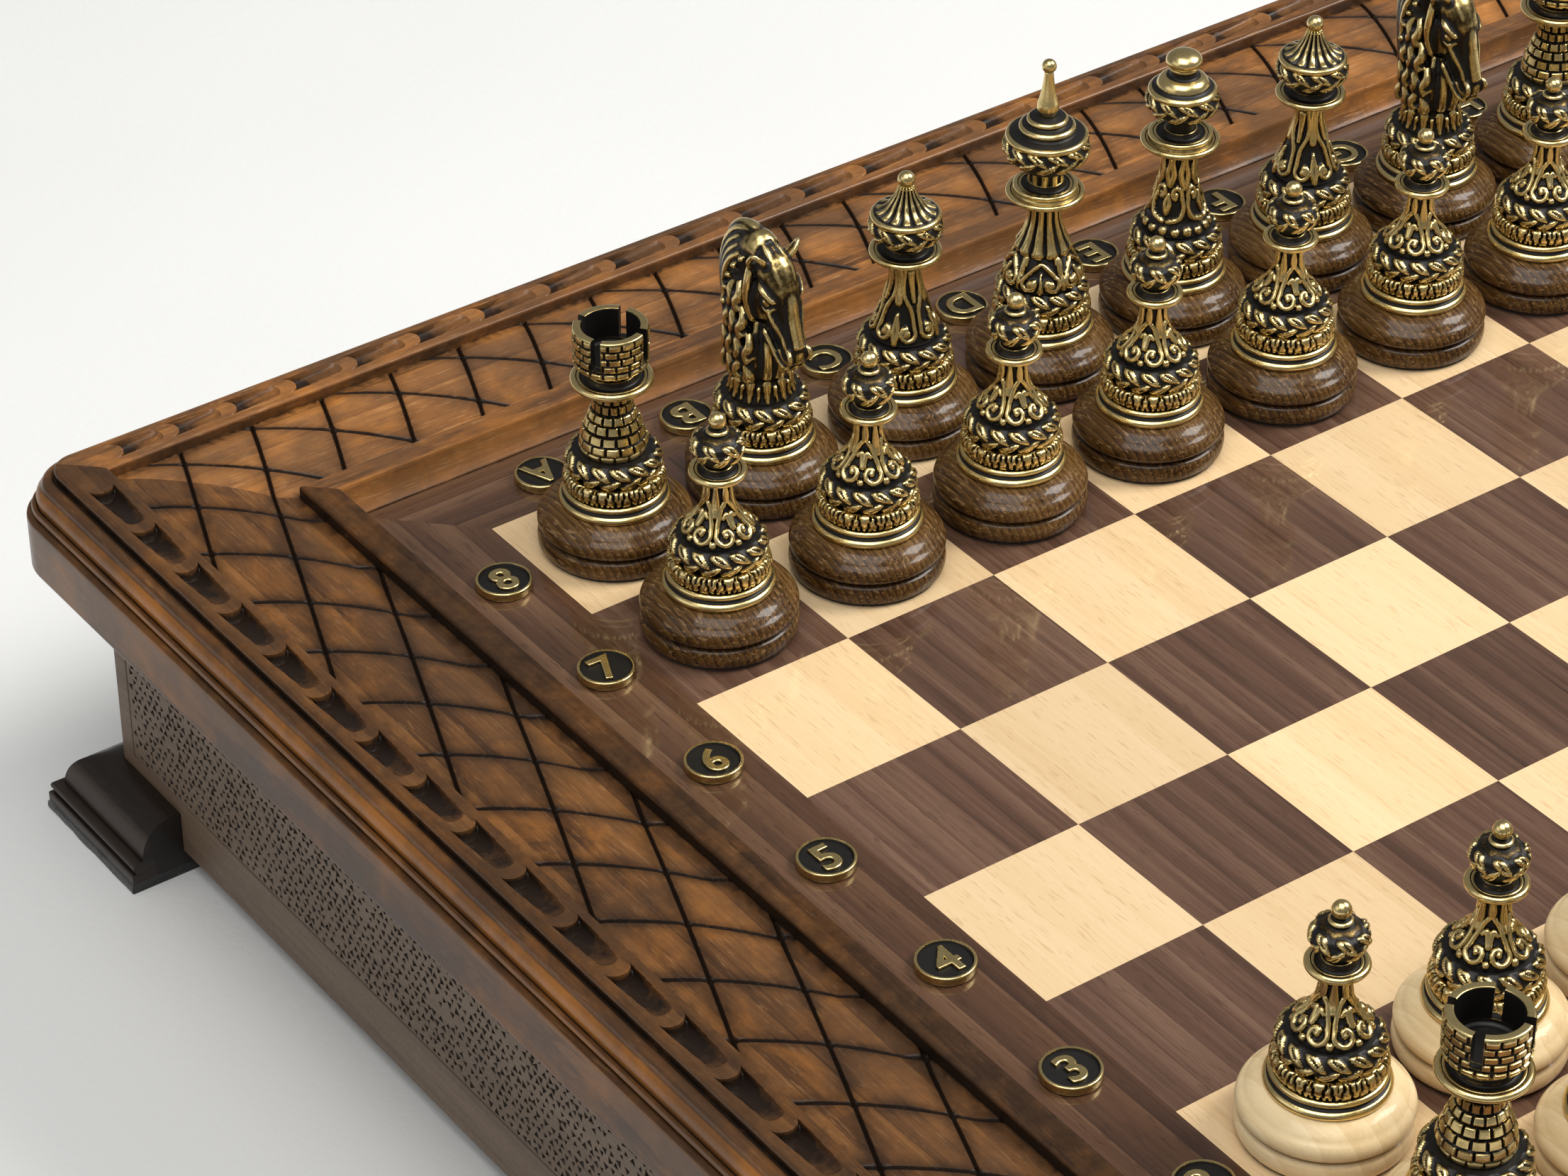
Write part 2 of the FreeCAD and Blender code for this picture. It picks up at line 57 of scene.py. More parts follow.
# ---------------------------------------------------------------- measures shared with the CAD model
FIELD_LOW, FIELD_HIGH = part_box("light_squares")
SQUARE = (FIELD_HIGH[0] - FIELD_LOW[0]) / 8 / MM
PLAY_Z = FIELD_HIGH[2] / MM
HALF_FIELD = 4 * SQUARE
BORDER_WIDTH = 24.0
LEDGE_OUTER = 35.0
STRIP_INNER = 69.8
STRIP_OUTER = 82.0
STRIP_TOP = 8.0
RAIL_OUTER = 90.0
RAIL_BOTTOM = -21.0
CARVED_INNER_Z = 2.5
CARVED_OUTER_Z = 4.6
CARVED_CROWN = 2.3
CORNER_RADIUS = 15.0
APRON_OUTER = 72.4
APRON_BOTTOM = -97.5
FOOT_TOP = -85.0
FOOT_OUTER = 88.0
FOOT_INNER = 48.0
FOOT_LENGTH = 45.0
FELT_FOOT = 3.0
FOOT_CUT = HALF_FIELD + FOOT_OUTER - FOOT_LENGTH


# ---------------------------------------------------------------- small helpers
def smoothstep(low, high, value):
    part = np.clip((value - low) / (high - low), 0.0, 1.0)
    return part * part * (3 - 2 * part)


def ridge(distance, half_width):
    """A half-round ridge: 1 on its line, 0 from half_width outwards."""
    return np.sqrt(np.clip(1 - (distance / half_width) ** 2, 0, 1))


def ripple(points, scale, seed):
    """Smooth irregularity of about -1 to 1 at each point, the same for the same seed."""
    random = np.random.default_rng(seed)
    total = np.zeros(len(points))
    for octave in range(4):
        wave = random.normal(size=(3, 5)) * scale * 1.7**octave
        phase = random.uniform(0, TAU, 5)
        total += np.sin(points @ wave + phase).sum(axis=1) / 5 / 1.4**octave
    return total


class Shell:
    """Vertices in millimetres, faces, and one tone per vertex, gathered into one mesh."""

    def __init__(self):
        self.points = []
        self.tones = []
        self.faces = []
        self.count = 0

    def add(self, points, faces, tone=0.0):
        points = np.asarray(points, float).reshape(-1, 3)
        self.faces += [tuple(index + self.count for index in face) for face in faces]
        self.points.append(points)
        self.tones.append(np.broadcast_to(tone, len(points)).astype(float))
        self.count += len(points)

    def add_shell(self, other, turn=0.0, shift=(0, 0, 0)):
        points = np.concatenate(other.points)
        cosine, sine = math.cos(turn), math.sin(turn)
        x = points[:, 0] * cosine - points[:, 1] * sine + shift[0]
        y = points[:, 0] * sine + points[:, 1] * cosine + shift[1]
        self.add(np.stack([x, y, points[:, 2] + shift[2]], 1), other.faces, np.concatenate(other.tones))


def placed(name, data):
    """An object that holds the data, put into the scene."""
    thing = bpy.data.objects.new(name, data)
    bpy.context.scene.collection.objects.link(thing)
    return thing


def make_piece(name, shell, material, body, nodes=(), smooth=True, sharp=None, fix=False):
    """A mesh object from a shell, riding on a body and standing for CAD nodes."""
    mesh = bpy.data.meshes.new(name)
    points = np.concatenate(shell.points) * MM
    mesh.from_pydata(points.tolist(), [], shell.faces)
    tone = mesh.attributes.new("tone", "FLOAT", "POINT")
    tone.data.foreach_set("value", np.concatenate(shell.tones).astype(np.float32))
    if fix:
        work = bmesh.new()
        work.from_mesh(mesh)
        bmesh.ops.recalc_face_normals(work, faces=work.faces)
        work.to_mesh(mesh)
        work.free()
    mesh.polygons.foreach_set("use_smooth", [smooth] * len(mesh.polygons))
    if sharp is not None:
        mesh.set_sharp_from_angle(angle=math.radians(sharp))
    mesh.materials.append(material)
    piece = placed(name, mesh)
    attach(piece, body)
    if nodes:
        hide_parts(*nodes)
    return piece


def grid_faces(rows, columns, wrap_rows=False, wrap_columns=False):
    """Four-sided faces between the vertices of a grid, stored row after row."""
    row = np.arange(rows if wrap_rows else rows - 1)[:, None]
    column = np.arange(columns if wrap_columns else columns - 1)[None, :]
    next_row = (row + 1) % rows
    next_column = (column + 1) % columns
    corners = (
        row * columns + column,
        row * columns + next_column,
        next_row * columns + next_column,
        next_row * columns + column,
    )
    return [tuple(face) for face in np.stack(corners, -1).reshape(-1, 4).tolist()]


def tube_faces(rings, sides):
    """Faces of a tube with one ring in each row of a grid, and of its two ends."""
    faces = grid_faces(rings, sides, wrap_columns=True)
    faces.append(tuple(reversed(range(sides))))
    faces.append(tuple((rings - 1) * sides + k for k in range(sides)))
    return faces


def bar_faces(rows, stations):
    """Faces of a bar with one of its sections in each column of a grid, and of its two ends."""
    faces = grid_faces(rows, stations, wrap_rows=True)
    faces.append(tuple(k * stations for k in range(rows)))
    faces.append(tuple(k * stations + stations - 1 for k in reversed(range(rows))))
    return faces


# ---------------------------------------------------------------- turned shapes
# A run of an outline that starts or ends at a radius of ON_AXIS or less is a flat end of the
# body, and has rows of vertices only as far in as RIM_WIDTH from its rim.
ON_AXIS = 0.5
RIM_WIDTH = 1.8


def shares_of_run(chord, bulge, step, from_axis, to_axis):
    """Where the rows of one run of an outline stand, from 0 to 1."""
    if (from_axis or to_axis) and chord > RIM_WIDTH:
        rim = np.linspace(0, RIM_WIDTH, max(2, round(RIM_WIDTH / step) + 1)) / chord
        return 1 - rim[::-1] if from_axis else np.append(rim[1:], 1.0)
    count = max(1, round((chord + abs(bulge)) / step))
    return np.arange(1, count + 1) / count


def path(entries, step=0.4):
    """Rows (radius, height, tone) along a turned outline. An entry is (radius, height, bulge,
    tone): where a run ends, how far it bulges outwards and the tone that it has."""
    rows = [(entries[0][0], entries[0][1], entries[0][3])]
    for (r0, z0, _, _), (r1, z1, bulge, tone) in zip(entries, entries[1:]):
        chord = math.hypot(r1 - r0, z1 - z0)
        across = ((z1 - z0) / chord, -(r1 - r0) / chord)
        deep = abs(bulge) > 0.35 * chord
        for part in shares_of_run(chord, bulge, step, r0 <= ON_AXIS, r1 <= ON_AXIS):
            along = (1 - math.cos(math.pi * part)) / 2 if deep else part
            rise = bulge * (math.sin(math.pi * part) if deep else 4 * part * (1 - part))
            r = r0 + (r1 - r0) * along + across[0] * rise
            z = z0 + (z1 - z0) * along + across[1] * rise
            rows.append((r, z, tone))
    return np.array(rows)


def blur(grid, rounds, wrap_rows):
    """Evens out a grid of points that closes round its columns."""
    for _ in range(rounds):
        grid = (np.roll(grid, 1, 1) + 2 * grid + np.roll(grid, -1, 1)) / 4
        if wrap_rows:
            grid = (np.roll(grid, 1, 0) + 2 * grid + np.roll(grid, -1, 0)) / 4
        else:
            above = np.concatenate([grid[1:], grid[-1:]])
            below = np.concatenate([grid[:1], grid[:-1]])
            grid = (above + 2 * grid + below) / 4
    return grid


# How much the tone rises with each millimetre of relief, and how far a body is evened out to find
# its hollows.
LIFT_SHINE = 1.35
BLUR_ROUNDS = 6


def lathe(shell, rows, columns, relief=None, closed=False, gain=3.0):
    """Turns an outline about Z. relief(theta, along, radius) lifts the surface, in millimetres.
    Hollows get a low tone and raised parts a high one. An open outline is closed on the axis."""
    radius, level, tone = rows.T
    theta = TAU * np.arange(columns) / columns
    steps = np.hypot(np.diff(radius), np.diff(level))
    along = np.concatenate([[0], np.cumsum(steps)])
    if closed:
        slope_r = (np.roll(radius, -1) - np.roll(radius, 1)) / 2
        slope_z = (np.roll(level, -1) - np.roll(level, 1)) / 2
    else:
        slope_r, slope_z = np.gradient(radius), np.gradient(level)
    length = np.hypot(slope_r, slope_z) + 1e-9
    normal_r, normal_z = slope_z / length, -slope_r / length
    lift = np.zeros((len(radius), columns))
    if relief is not None:
        lift = lift + relief(theta[None, :], along[:, None], radius[:, None])
    out = np.maximum(radius[:, None] + normal_r[:, None] * lift, 0.02)
    up = level[:, None] + normal_z[:, None] * lift
    points = np.stack([out * np.cos(theta), out * np.sin(theta), up], -1)
    normal = np.stack(
        [
            normal_r[:, None] * np.cos(theta),
            normal_r[:, None] * np.sin(theta),
            np.broadcast_to(normal_z[:, None], lift.shape),
        ],
        -1,
    )
    standing = ((points - blur(points, BLUR_ROUNDS, closed)) * normal).sum(-1)
    tones = np.clip(tone[:, None] + LIFT_SHINE * lift + gain * standing, 0, 1)
    faces = grid_faces(len(radius), columns, wrap_rows=closed, wrap_columns=True)
    shell.add(points, faces, tones.reshape(-1))
    if closed:
        return
    last = (len(radius) - 1) * columns
    start = shell.count - len(radius) * columns
    shell.add([(0, 0, level[0]), (0, 0, level[-1])], [], tone[0])
    low, high = shell.count - 2, shell.count - 1
    for j in range(columns):
        k = (j + 1) % columns
        shell.faces.append((low, start + k, start + j))
        shell.faces.append((start + last + j, start + last + k, high))


# ---------------------------------------------------------------- reliefs of the brass figures
def notches(count, depth, middle, half):
    """A ring cut into pointed leaves that stand up and hang down by turns, each with a nick."""

    def relief(theta, along, radius):
        pitch = TAU * radius.max() / count
        turn = theta * count / TAU
        share = np.abs(turn - np.floor(turn) - 0.5)
        rise = np.clip((along - middle) / half, -1, 1)
        gap = np.abs(share - 0.25 + 0.16 * rise) * pitch
        cut = 1 - smoothstep(0.10, 0.36, gap)
        upper, lower = (1 - smoothstep(0.05, 0.22, place * pitch) for place in (0.5 - share, share))
        vein = upper * smoothstep(0.0, 0.35, rise) + lower * smoothstep(0.0, 0.35, -rise)
        reach = 1 - smoothstep(0.8, 1.0, np.abs(along - middle) / half)
        return (0.30 - depth * cut - 0.45 * vein) * reach

    return relief


def wreath(count, height, middle, half, lean, width):
    """Two rows of bay leaves that slant out from the middle of a band, each with an open vein."""

    def relief(theta, along, radius):
        pitch = TAU * radius.max() / count
        total = np.zeros(np.broadcast(theta, along).shape)
        for side in (-1, 1):
            turn = theta * count / TAU + 0.25 * side
            for neighbour in (-1, 0, 1):
                x = (turn - np.floor(turn) - 0.5 + neighbour) * pitch
                y = along - middle - side * half * 0.47
                a = x * math.cos(lean) - side * y * math.sin(lean)
                b = side * x * math.sin(lean) + y * math.cos(lean)
                size_a, size_b = pitch * 0.66, half * width
                taper = 1 - 0.5 * np.clip(a / size_a, -1, 1)
                spread = 1 - (a / size_a) ** 2 - (b / (size_b * taper)) ** 2
                leaf = np.clip(spread, 0, 1) ** 0.4
                slit = np.exp(-((b / 0.2) ** 2)) * (1 - smoothstep(0.3, 0.55, np.abs(a / size_a + 0.1)))
                total = np.maximum(total, height * leaf * (1 - 0.7 * slit))
        fade = 1 - smoothstep(0.85, 1.1, np.abs(along - middle) / half)
        return total * fade - 0.42 * height

    return relief


def spiral(centre, start, end, radii):
    """Points of a volute about a centre, from angle start to end, as (across, along)."""
    count = 18
    angles = np.linspace(start, end, count)
    sizes = np.linspace(radii[0], radii[1], count)
    return [(centre[0] + s * math.cos(a), centre[1] + s * math.sin(a)) for a, s in zip(angles, sizes)]


def curve(*points, count=12):
    """A smooth run of points through the given ones."""
    points = np.array(points, float)
    places = np.linspace(0, len(points) - 1, count)
    padded = np.vstack([2 * points[0] - points[1], points, 2 * points[-1] - points[-2]])
    result = []
    for place in places:
        k = min(int(place), len(points) - 2)
        t = place - k
        p0, p1, p2, p3 = padded[k : k + 4]
        blend = 0.5 * (2 * p1 + (p2 - p0) * t + (2 * p0 - 5 * p1 + 4 * p2 - p3) * t**2)
        result.append(tuple(blend + 0.5 * (3 * p1 - p0 - 3 * p2 + p3) * t**3))
    return result


def scrolls(cells, reference, strokes, height, lead):
    """Mirrored tendrils round a turned body. A stroke is (points, start half-width, end
    half-width), with points (across, along) in millimetres from the middle of a cell, taken at
    the reference radius; they draw together where the body narrows. Along is counted from lead,
    the length of the outline below the tendrils."""
    sunk = 0.38

    def relief(theta, along, radius):
        turn = theta * cells / TAU
        share = np.abs(turn - np.floor(turn) - 0.5)
        scale = TAU * radius / cells
        full = TAU * reference / cells
        total = np.zeros(np.broadcast(theta, along).shape)
        for points, wide, narrow in strokes:
            points = np.array(points) + (0, lead)
            number = len(points) - 1
            for index in range(max(number, 1)):
                x0, y0 = points[index]
                x1, y1 = points[min(index + 1, number)]
                px = (share - x0 / full) * scale
                py = along - y0
                sx = (x1 - x0) / full * scale
                sy = y1 - y0
                part = np.clip((px * sx + py * sy) / (sx * sx + sy * sy + 1e-9), 0, 1)
                distance = np.hypot(px - part * sx, py - part * sy)
                width = wide + (narrow - wide) * (index + part) / max(number, 1)
                total = np.maximum(total, height * ridge(distance, width) ** 0.6)
        return total - sunk * height

    return relief


def ribs(count, height, power, low=-1e9, high=1e9):
    """Upright rounded ribs with narrow valleys between them."""

    def relief(theta, along, radius):
        wave = np.abs(np.cos(theta * count / 2)) ** power
        inside = smoothstep(low, low + 0.8, along) * (1 - smoothstep(high - 0.8, high, along))
        return height * (wave - 0.6) * inside

    return relief


def bricks(course, count, start, depth, end=1e9):
    """Courses of staggered bricks, each a little proud of or behind its neighbours, that stop
    where the outline is longer than end."""

    def relief(theta, along, radius):
        row = np.floor((along - start) / course)
        v = (along - start) / course - row
        turn = theta * count / TAU + 0.5 * (row % 2) + 0.13 * np.sin(row * 2.3)
        cell = np.floor(turn)
        u = turn - cell
        width = TAU * radius / count
        gap = np.minimum(np.minimum(u, 1 - u) * width, np.minimum(v, 1 - v) * course)
        stand = 0.10 * np.sin(cell * 12.9898 + row * 78.233)
        raised = (stand + 0.2) * smoothstep(0.12, 0.42, gap) - depth * (1 - smoothstep(0.14, 0.36, gap))
        return raised * (along < end)

    return relief


# ---------------------------------------------------------------- the brass figures
# Tones of brass.
POLISHED = 0.93
WORN = 0.72
DARK = 0.03


def foot_rings(shell):
    """Two plain rings, a ring of nicked leaves and a band of bay leaves."""
    rings = [
        (0.5, 13.6, 0, DARK), (13.5, 13.7, 0, DARK), (13.4, 15.7, 0.6, POLISHED),
        (12.6, 15.95, 0, DARK), (12.4, 16.3, 0, DARK), (12.7, 16.5, 0, WORN),
        (12.5, 18.0, 0.5, POLISHED), (11.2, 18.3, 0, DARK), (0.5, 18.6, 0, DARK),
    ]
    lathe(shell, path(rings, 0.35), 96)
    ring = [(8.6, 18.1, 0, DARK), (11.0, 18.1, 0, DARK), (11.0, 22.5, 1.7, 0.5), (8.6, 22.5, 0, DARK)]
    half_ring = 2.9
    lathe(shell, path(ring, 0.4), 176, notches(19, 0.95, 2.4 + half_ring, half_ring), closed=True)
    band = [(7.6, 22.6, 0, DARK), (10.4, 22.4, 0, DARK), (9.9, 28.8, 1.8, 0.2), (7.0, 29.0, 0, DARK)]
    half_band = 3.6
    leaves = wreath(14, 1.05, 2.8 + half_band, half_band, lean=0.62, width=0.35)
    lathe(shell, path(band, 0.4), 176, leaves, closed=True)


def collar(shell, radius, low, high, neck, top_neck):
    """A disc with a polished rim, a worn ring inside it and a dark hollow round its neck."""
    lathe(
        shell,
        path(
            [
                (0.5, low - 2.6, 0, DARK), (neck, low - 2.4, 0, 0.3),
                (neck + 0.5, low - 0.9, -0.2, 0.4), (radius * 0.66, low - 0.15, -0.3, 0.25),
                (radius - 0.9, low, 0, 0.5),
                (radius - 0.9, high, (high - low) * 0.5, POLISHED),
                (radius - 1.3, high - 0.05, 0, POLISHED), (radius - 1.5, high - 0.4, 0, DARK),
                (radius - 1.7, high - 0.15, 0, 0.5), (radius - 2.2, high - 0.2, 0, 0.5),
                (radius - 2.5, high - 0.45, 0, DARK), (top_neck + 0.9, high - 0.3, 0, DARK),
                (top_neck + 0.5, high + 0.3, 0, 0.4), (top_neck, high + 1.2, 0, DARK),
                (0.5, high + 1.3, 0, DARK),
            ],
            0.35,
        ),
        80,
    )


def ball(shell, centre, radius, flat=1.0, columns=48):
    """A polished ball, flat times as high as it is wide."""
    angles = np.linspace(-1.5, 1.54, 22)
    rows = [(radius * math.cos(a), centre + radius * flat * math.sin(a), POLISHED) for a in angles]
    lathe(shell, np.array(rows), columns, gain=0.0)


def pawn():
    shell = Shell()
    foot_rings(shell)
    cone = [
        (0.5, 28.0, 0, DARK), (9.0, 28.4, 0, DARK), (6.6, 32.3, 0.35, 0.2), (3.6, 37.3, -0.35, 0.2),
        (2.8, 43.4, -0.1, 0.24), (0.5, 43.6, 0, DARK),
    ]
    volute = spiral((3.7, 4.0), 8.4, 3.3, (0.9, 2.9))
    strokes = [
        (volute + curve((1.1, 6.6), (2.6, 10.2), (4.9, 11.9)), 0.68, 0.66),
        ([(3.7, 4.0)], 0.75, 0.75),
        ([(0.0, 1.7)], 1.0, 1.0),
        ([(6.7, 1.7)], 0.9, 0.9),
        (curve((6.7, 5.6), (5.6, 9.0), (3.7, 8.2)), 0.8, 0.55),
        (curve((0.0, 9.0), (0.8, 12.2), (0.0, 16.6)), 0.9, 0.5),
        (curve((6.7, 12.6), (6.0, 14.4), (6.7, 16.8)), 0.8, 0.5),
    ]
    lathe(shell, path(cone, 0.34), 160, scrolls(4, 8.6, strokes, 1.05, lead=8.4))
    collar(shell, 7.2, 45.4, 47.2, 2.8, 3.6)
    urn = [
        (0.5, 48.0, 0, DARK), (3.4, 48.2, 0, DARK), (3.9, 49.6, 0, 0.6), (6.3, 53.0, 0.45, 0.46),
        (6.2, 54.2, 0.3, 0.46), (5.0, 56.1, 0.5, 0.5), (3.2, 57.2, 0.15, 0.8), (2.2, 57.5, 0, DARK),
        (0.5, 57.6, 0, DARK),
    ]
    lathe(shell, path(urn, 0.34), 120, wreath(7, 0.8, 9.0, 3.7, lean=0.85, width=0.36))
    knob = [(0.4, 57.2, 0, DARK), (2.4, 57.3, 0, WORN), (2.4, 58.3, 0.4, POLISHED), (1.0, 58.7, 0, DARK)]
    lathe(shell, path(knob), 48)
    ball(shell, 60.55, 2.2)
    return shell


def rook_turret(shell):
    """Four brick merlons on a cup, with a dark hollow inside."""
    outer, inner, floor, low, top = 9.25, 7.2, 54.6, 55.8, 64.3
    cup = [
        (0.5, 51.8, 0, DARK), (5.9, 51.9, 0, DARK), (6.2, 52.6, 0, DARK), (8.4, 53.4, 0, 0.4),
        (outer, 54.6, 0.15, 0.62), (outer, low + 0.3, 0, 0.62), (inner, low + 0.3, 0, DARK),
        (inner - 0.2, floor + 0.8, 0, 0.0), (inner - 1.2, floor, 0.2, 0.0), (0.5, floor, 0, 0.0),
    ]
    lathe(shell, path(cup, 0.35), 160, bricks(2.3, 17, 8.6, 0.5, 11.6))
    wall = path(
        [
            (outer, low, 0, 0.62), (outer + 0.1, top - 0.5, 0, 0.62),
            (outer - 0.4, top, 0.15, POLISHED), (inner + 0.3, top, 0, POLISHED),
            (inner, top - 0.4, 0.1, 0.3), (inner, low, 0, 0.0),
        ],
        0.3,
    )
    radius, level, tone = wall.T
    steps = np.concatenate([[0], np.cumsum(np.hypot(np.diff(radius), np.diff(level)))])
    slot = 1.3 / outer
    columns = 44
    pattern = bricks(2.05, 17, -0.1, 0.45)
    for quarter in range(4):
        theta = np.linspace(quarter * TAU / 4 + slot, (quarter + 1) * TAU / 4 - slot, columns)
        lift = pattern(theta[None, :], steps[:, None], radius[:, None])
        lift = lift * (1 - smoothstep(top - low - 0.9, top - low - 0.4, steps))[:, None]
        edge = np.minimum(np.arange(columns), np.arange(columns)[::-1])
        lift = lift * smoothstep(0, 2.0, edge)[None, :]
        out = radius[:, None] + lift
        grid = np.stack(
            [out * np.cos(theta), out * np.sin(theta), np.broadcast_to(level[:, None], lift.shape)], -1
        )
        tones = np.clip(tone[:, None] + LIFT_SHINE * lift, 0, 1)
        rows = len(radius)
        shell.add(grid, grid_faces(rows, columns, wrap_rows=True), tones.reshape(-1))
        for column in (0, columns - 1):
            rim = grid[:, column] if column else grid[::-1, column]
            shell.add(rim, [tuple(range(rows))], 0.12)


def rook():
    shell = Shell()
    foot_rings(shell)
    body = [
        (0.5, 27.4, 0, DARK), (6.6, 27.6, 0, DARK), (8.5, 31.0, 0.55, 0.6), (5.1, 41.0, 0.35, 0.6),
        (4.9, 48.2, -0.1, 0.6), (0.5, 48.3, 0, DARK),
    ]
    lathe(shell, path(body, 0.32), 168, bricks(2.7, 14, 6.9, 0.6), gain=2.0)
    collar(shell, 10.3, 47.9, 49.9, 4.9, 6.0)
    rook_turret(shell)
    return shell


def bishop():
    shell = Shell()
    foot_rings(shell)
    body = [
        (0.5, 28.2, 0, DARK), (8.9, 28.6, 0, DARK), (7.4, 33.0, 0.2, 0.2), (5.1, 39.8, -0.15, 0.2),
        (3.5, 47.0, -0.25, 0.2), (3.4, 51.0, 0, 0.2), (0.5, 51.2, 0, DARK),
    ]
    tail = curve((5.7, 6.0), (5.2, 10.0), (2.4, 14.0), (2.2, 18.0), (3.6, 22.6))
    strokes = [
        (spiral((3.4, 3.9), -4.6, -0.1, (1.2, 2.4)) + tail, 0.72, 0.6),
        ([(3.3, 3.8)], 1.15, 1.15),
        (curve((0.0, 1.0), (0.6, 4.4), (0.0, 8.6)), 0.9, 0.5),
        (curve((0.0, 12.0), (0.6, 16.0), (0.0, 22.6)), 1.1, 0.7),
        (curve((6.7, 12.0), (6.7, 20.0)), 0.5, 1.1),
    ]
    lathe(shell, path(body, 0.36), 160, scrolls(4, 8.6, strokes, 1.0, lead=8.4))
    collar(shell, 9.45, 51.8, 53.5, 3.5, 4.9)
    bowl = [
        (0.5, 54.4, 0, DARK), (4.9, 54.5, 0, DARK), (5.2, 56.6, 0, DARK), (8.3, 57.6, 0.3, 0.34),
        (8.8, 62.2, 0.8, 0.34), (8.2, 62.6, 0, DARK), (0.5, 62.7, 0, DARK),
    ]
    lathe(shell, path(bowl, 0.38), 136, wreath(10, 0.9, 12.3, 3.1, lean=0.6, width=0.33))
    roof = [
        (0.5, 62.3, 0, DARK), (8.3, 62.4, 0, 0.5), (8.4, 64.1, 0.75, POLISHED),
        (7.5, 64.5, 0, DARK), (3.9, 67.2, -0.6, 0.36), (1.7, 71.9, -0.35, 0.36),
        (0.5, 72.0, 0, DARK),
    ]
    lathe(shell, path(roof, 0.34), 144, ribs(14, 0.8, 0.8, 10.6, 21.5))
    lathe(shell, path([(0.4, 71.2, 0, DARK), (2.1, 71.3, 0, WORN), (0.5, 72.0, 0, DARK)]), 40)
    ball(shell, 73.5, 2.25)
    return shell


def spire_piece():
    shell = Shell()
    foot_rings(shell)
    body = [
        (0.5, 28.0, 0, DARK), (10.0, 28.4, 0, DARK), (8.6, 33.2, 0.6, 0.16), (5.9, 37.8, 0.3, 0.16),
        (0.5, 38.0, 0, DARK),
    ]
    strokes = [
        (spiral((2.9, 3.0), 2.6, 7.2, (1.3, 2.1)) + curve((3.9, 5.2), (2.2, 7.0), (0.4, 8.4)), 0.7, 0.6),
        ([(2.8, 2.9)], 1.05, 1.05),
        (curve((0.0, 1.0), (0.0, 5.6)), 0.8, 0.4),
        (curve((5.9, 1.4), (5.9, 9.4)), 0.55, 1.0),
    ]
    lathe(shell, path(body, 0.38), 152, scrolls(5, 9.4, strokes, 1.05, lead=9.5))
    bell = [
        (0.5, 37.2, 0, DARK), (6.4, 37.3, 0, DARK), (7.2, 38.8, 0.4, 0.42),
        (5.0, 43.4, -0.25, 0.38), (3.9, 48.0, -0.2, 0.38), (3.8, 53.0, 0, 0.38),
        (0.5, 53.2, 0, DARK),
    ]
    lathe(shell, path(bell, 0.4), 128, ribs(11, 1.0, 0.7))
    collar(shell, 10.4, 53.5, 55.1, 4.0, 7.4)
    collar(shell, 8.6, 55.4, 56.9, 7.0, 4.6)
    neck = [(0.5, 56.4, 0, DARK), (4.6, 56.6, 0, 0.3), (4.7, 62.2, -0.2, 0.3), (0.5, 62.4, 0, DARK)]
    lathe(shell, path(neck, 0.5), 96, ribs(10, 0.7, 0.8))
    bowl = [
        (0.5, 60.6, 0, DARK), (4.8, 60.8, 0, DARK), (8.6, 63.4, 0.35, DARK),
        (10.2, 65.4, 0.25, 0.34), (10.3, 70.0, 0.8, 0.34), (9.8, 70.3, 0, DARK),
        (0.5, 70.4, 0, DARK),
    ]
    lathe(shell, path(bowl, 0.4), 168, wreath(12, 0.95, 14.0, 3.2, lean=0.6, width=0.33))
    cap = [
        (0.5, 69.9, 0, DARK), (9.9, 70.0, 0, WORN), (9.9, 71.8, 0.8, POLISHED),
        (9.0, 72.0, 0, DARK), (7.4, 72.3, 0, DARK), (7.0, 72.8, 0, WORN),
        (6.7, 74.4, 0.5, POLISHED), (5.6, 74.7, 0, DARK), (5.1, 75.0, 0, WORN),
        (4.8, 76.4, 0.4, POLISHED), (2.6, 77.0, 0, DARK), (0.5, 77.2, 0, DARK),
    ]
    lathe(shell, path(cap, 0.35), 96)
    needle = [
        (0.4, 76.6, 0, DARK), (2.0, 76.8, 0, DARK), (2.75, 80.2, 0.35, POLISHED),
        (1.9, 83.6, -0.05, POLISHED), (1.15, 89.4, -0.1, POLISHED), (0.4, 89.8, 0, WORN),
    ]
    lathe(shell, path(needle, 0.5), 48, gain=1.0)
    ball(shell, 90.95, 1.9)
    return shell


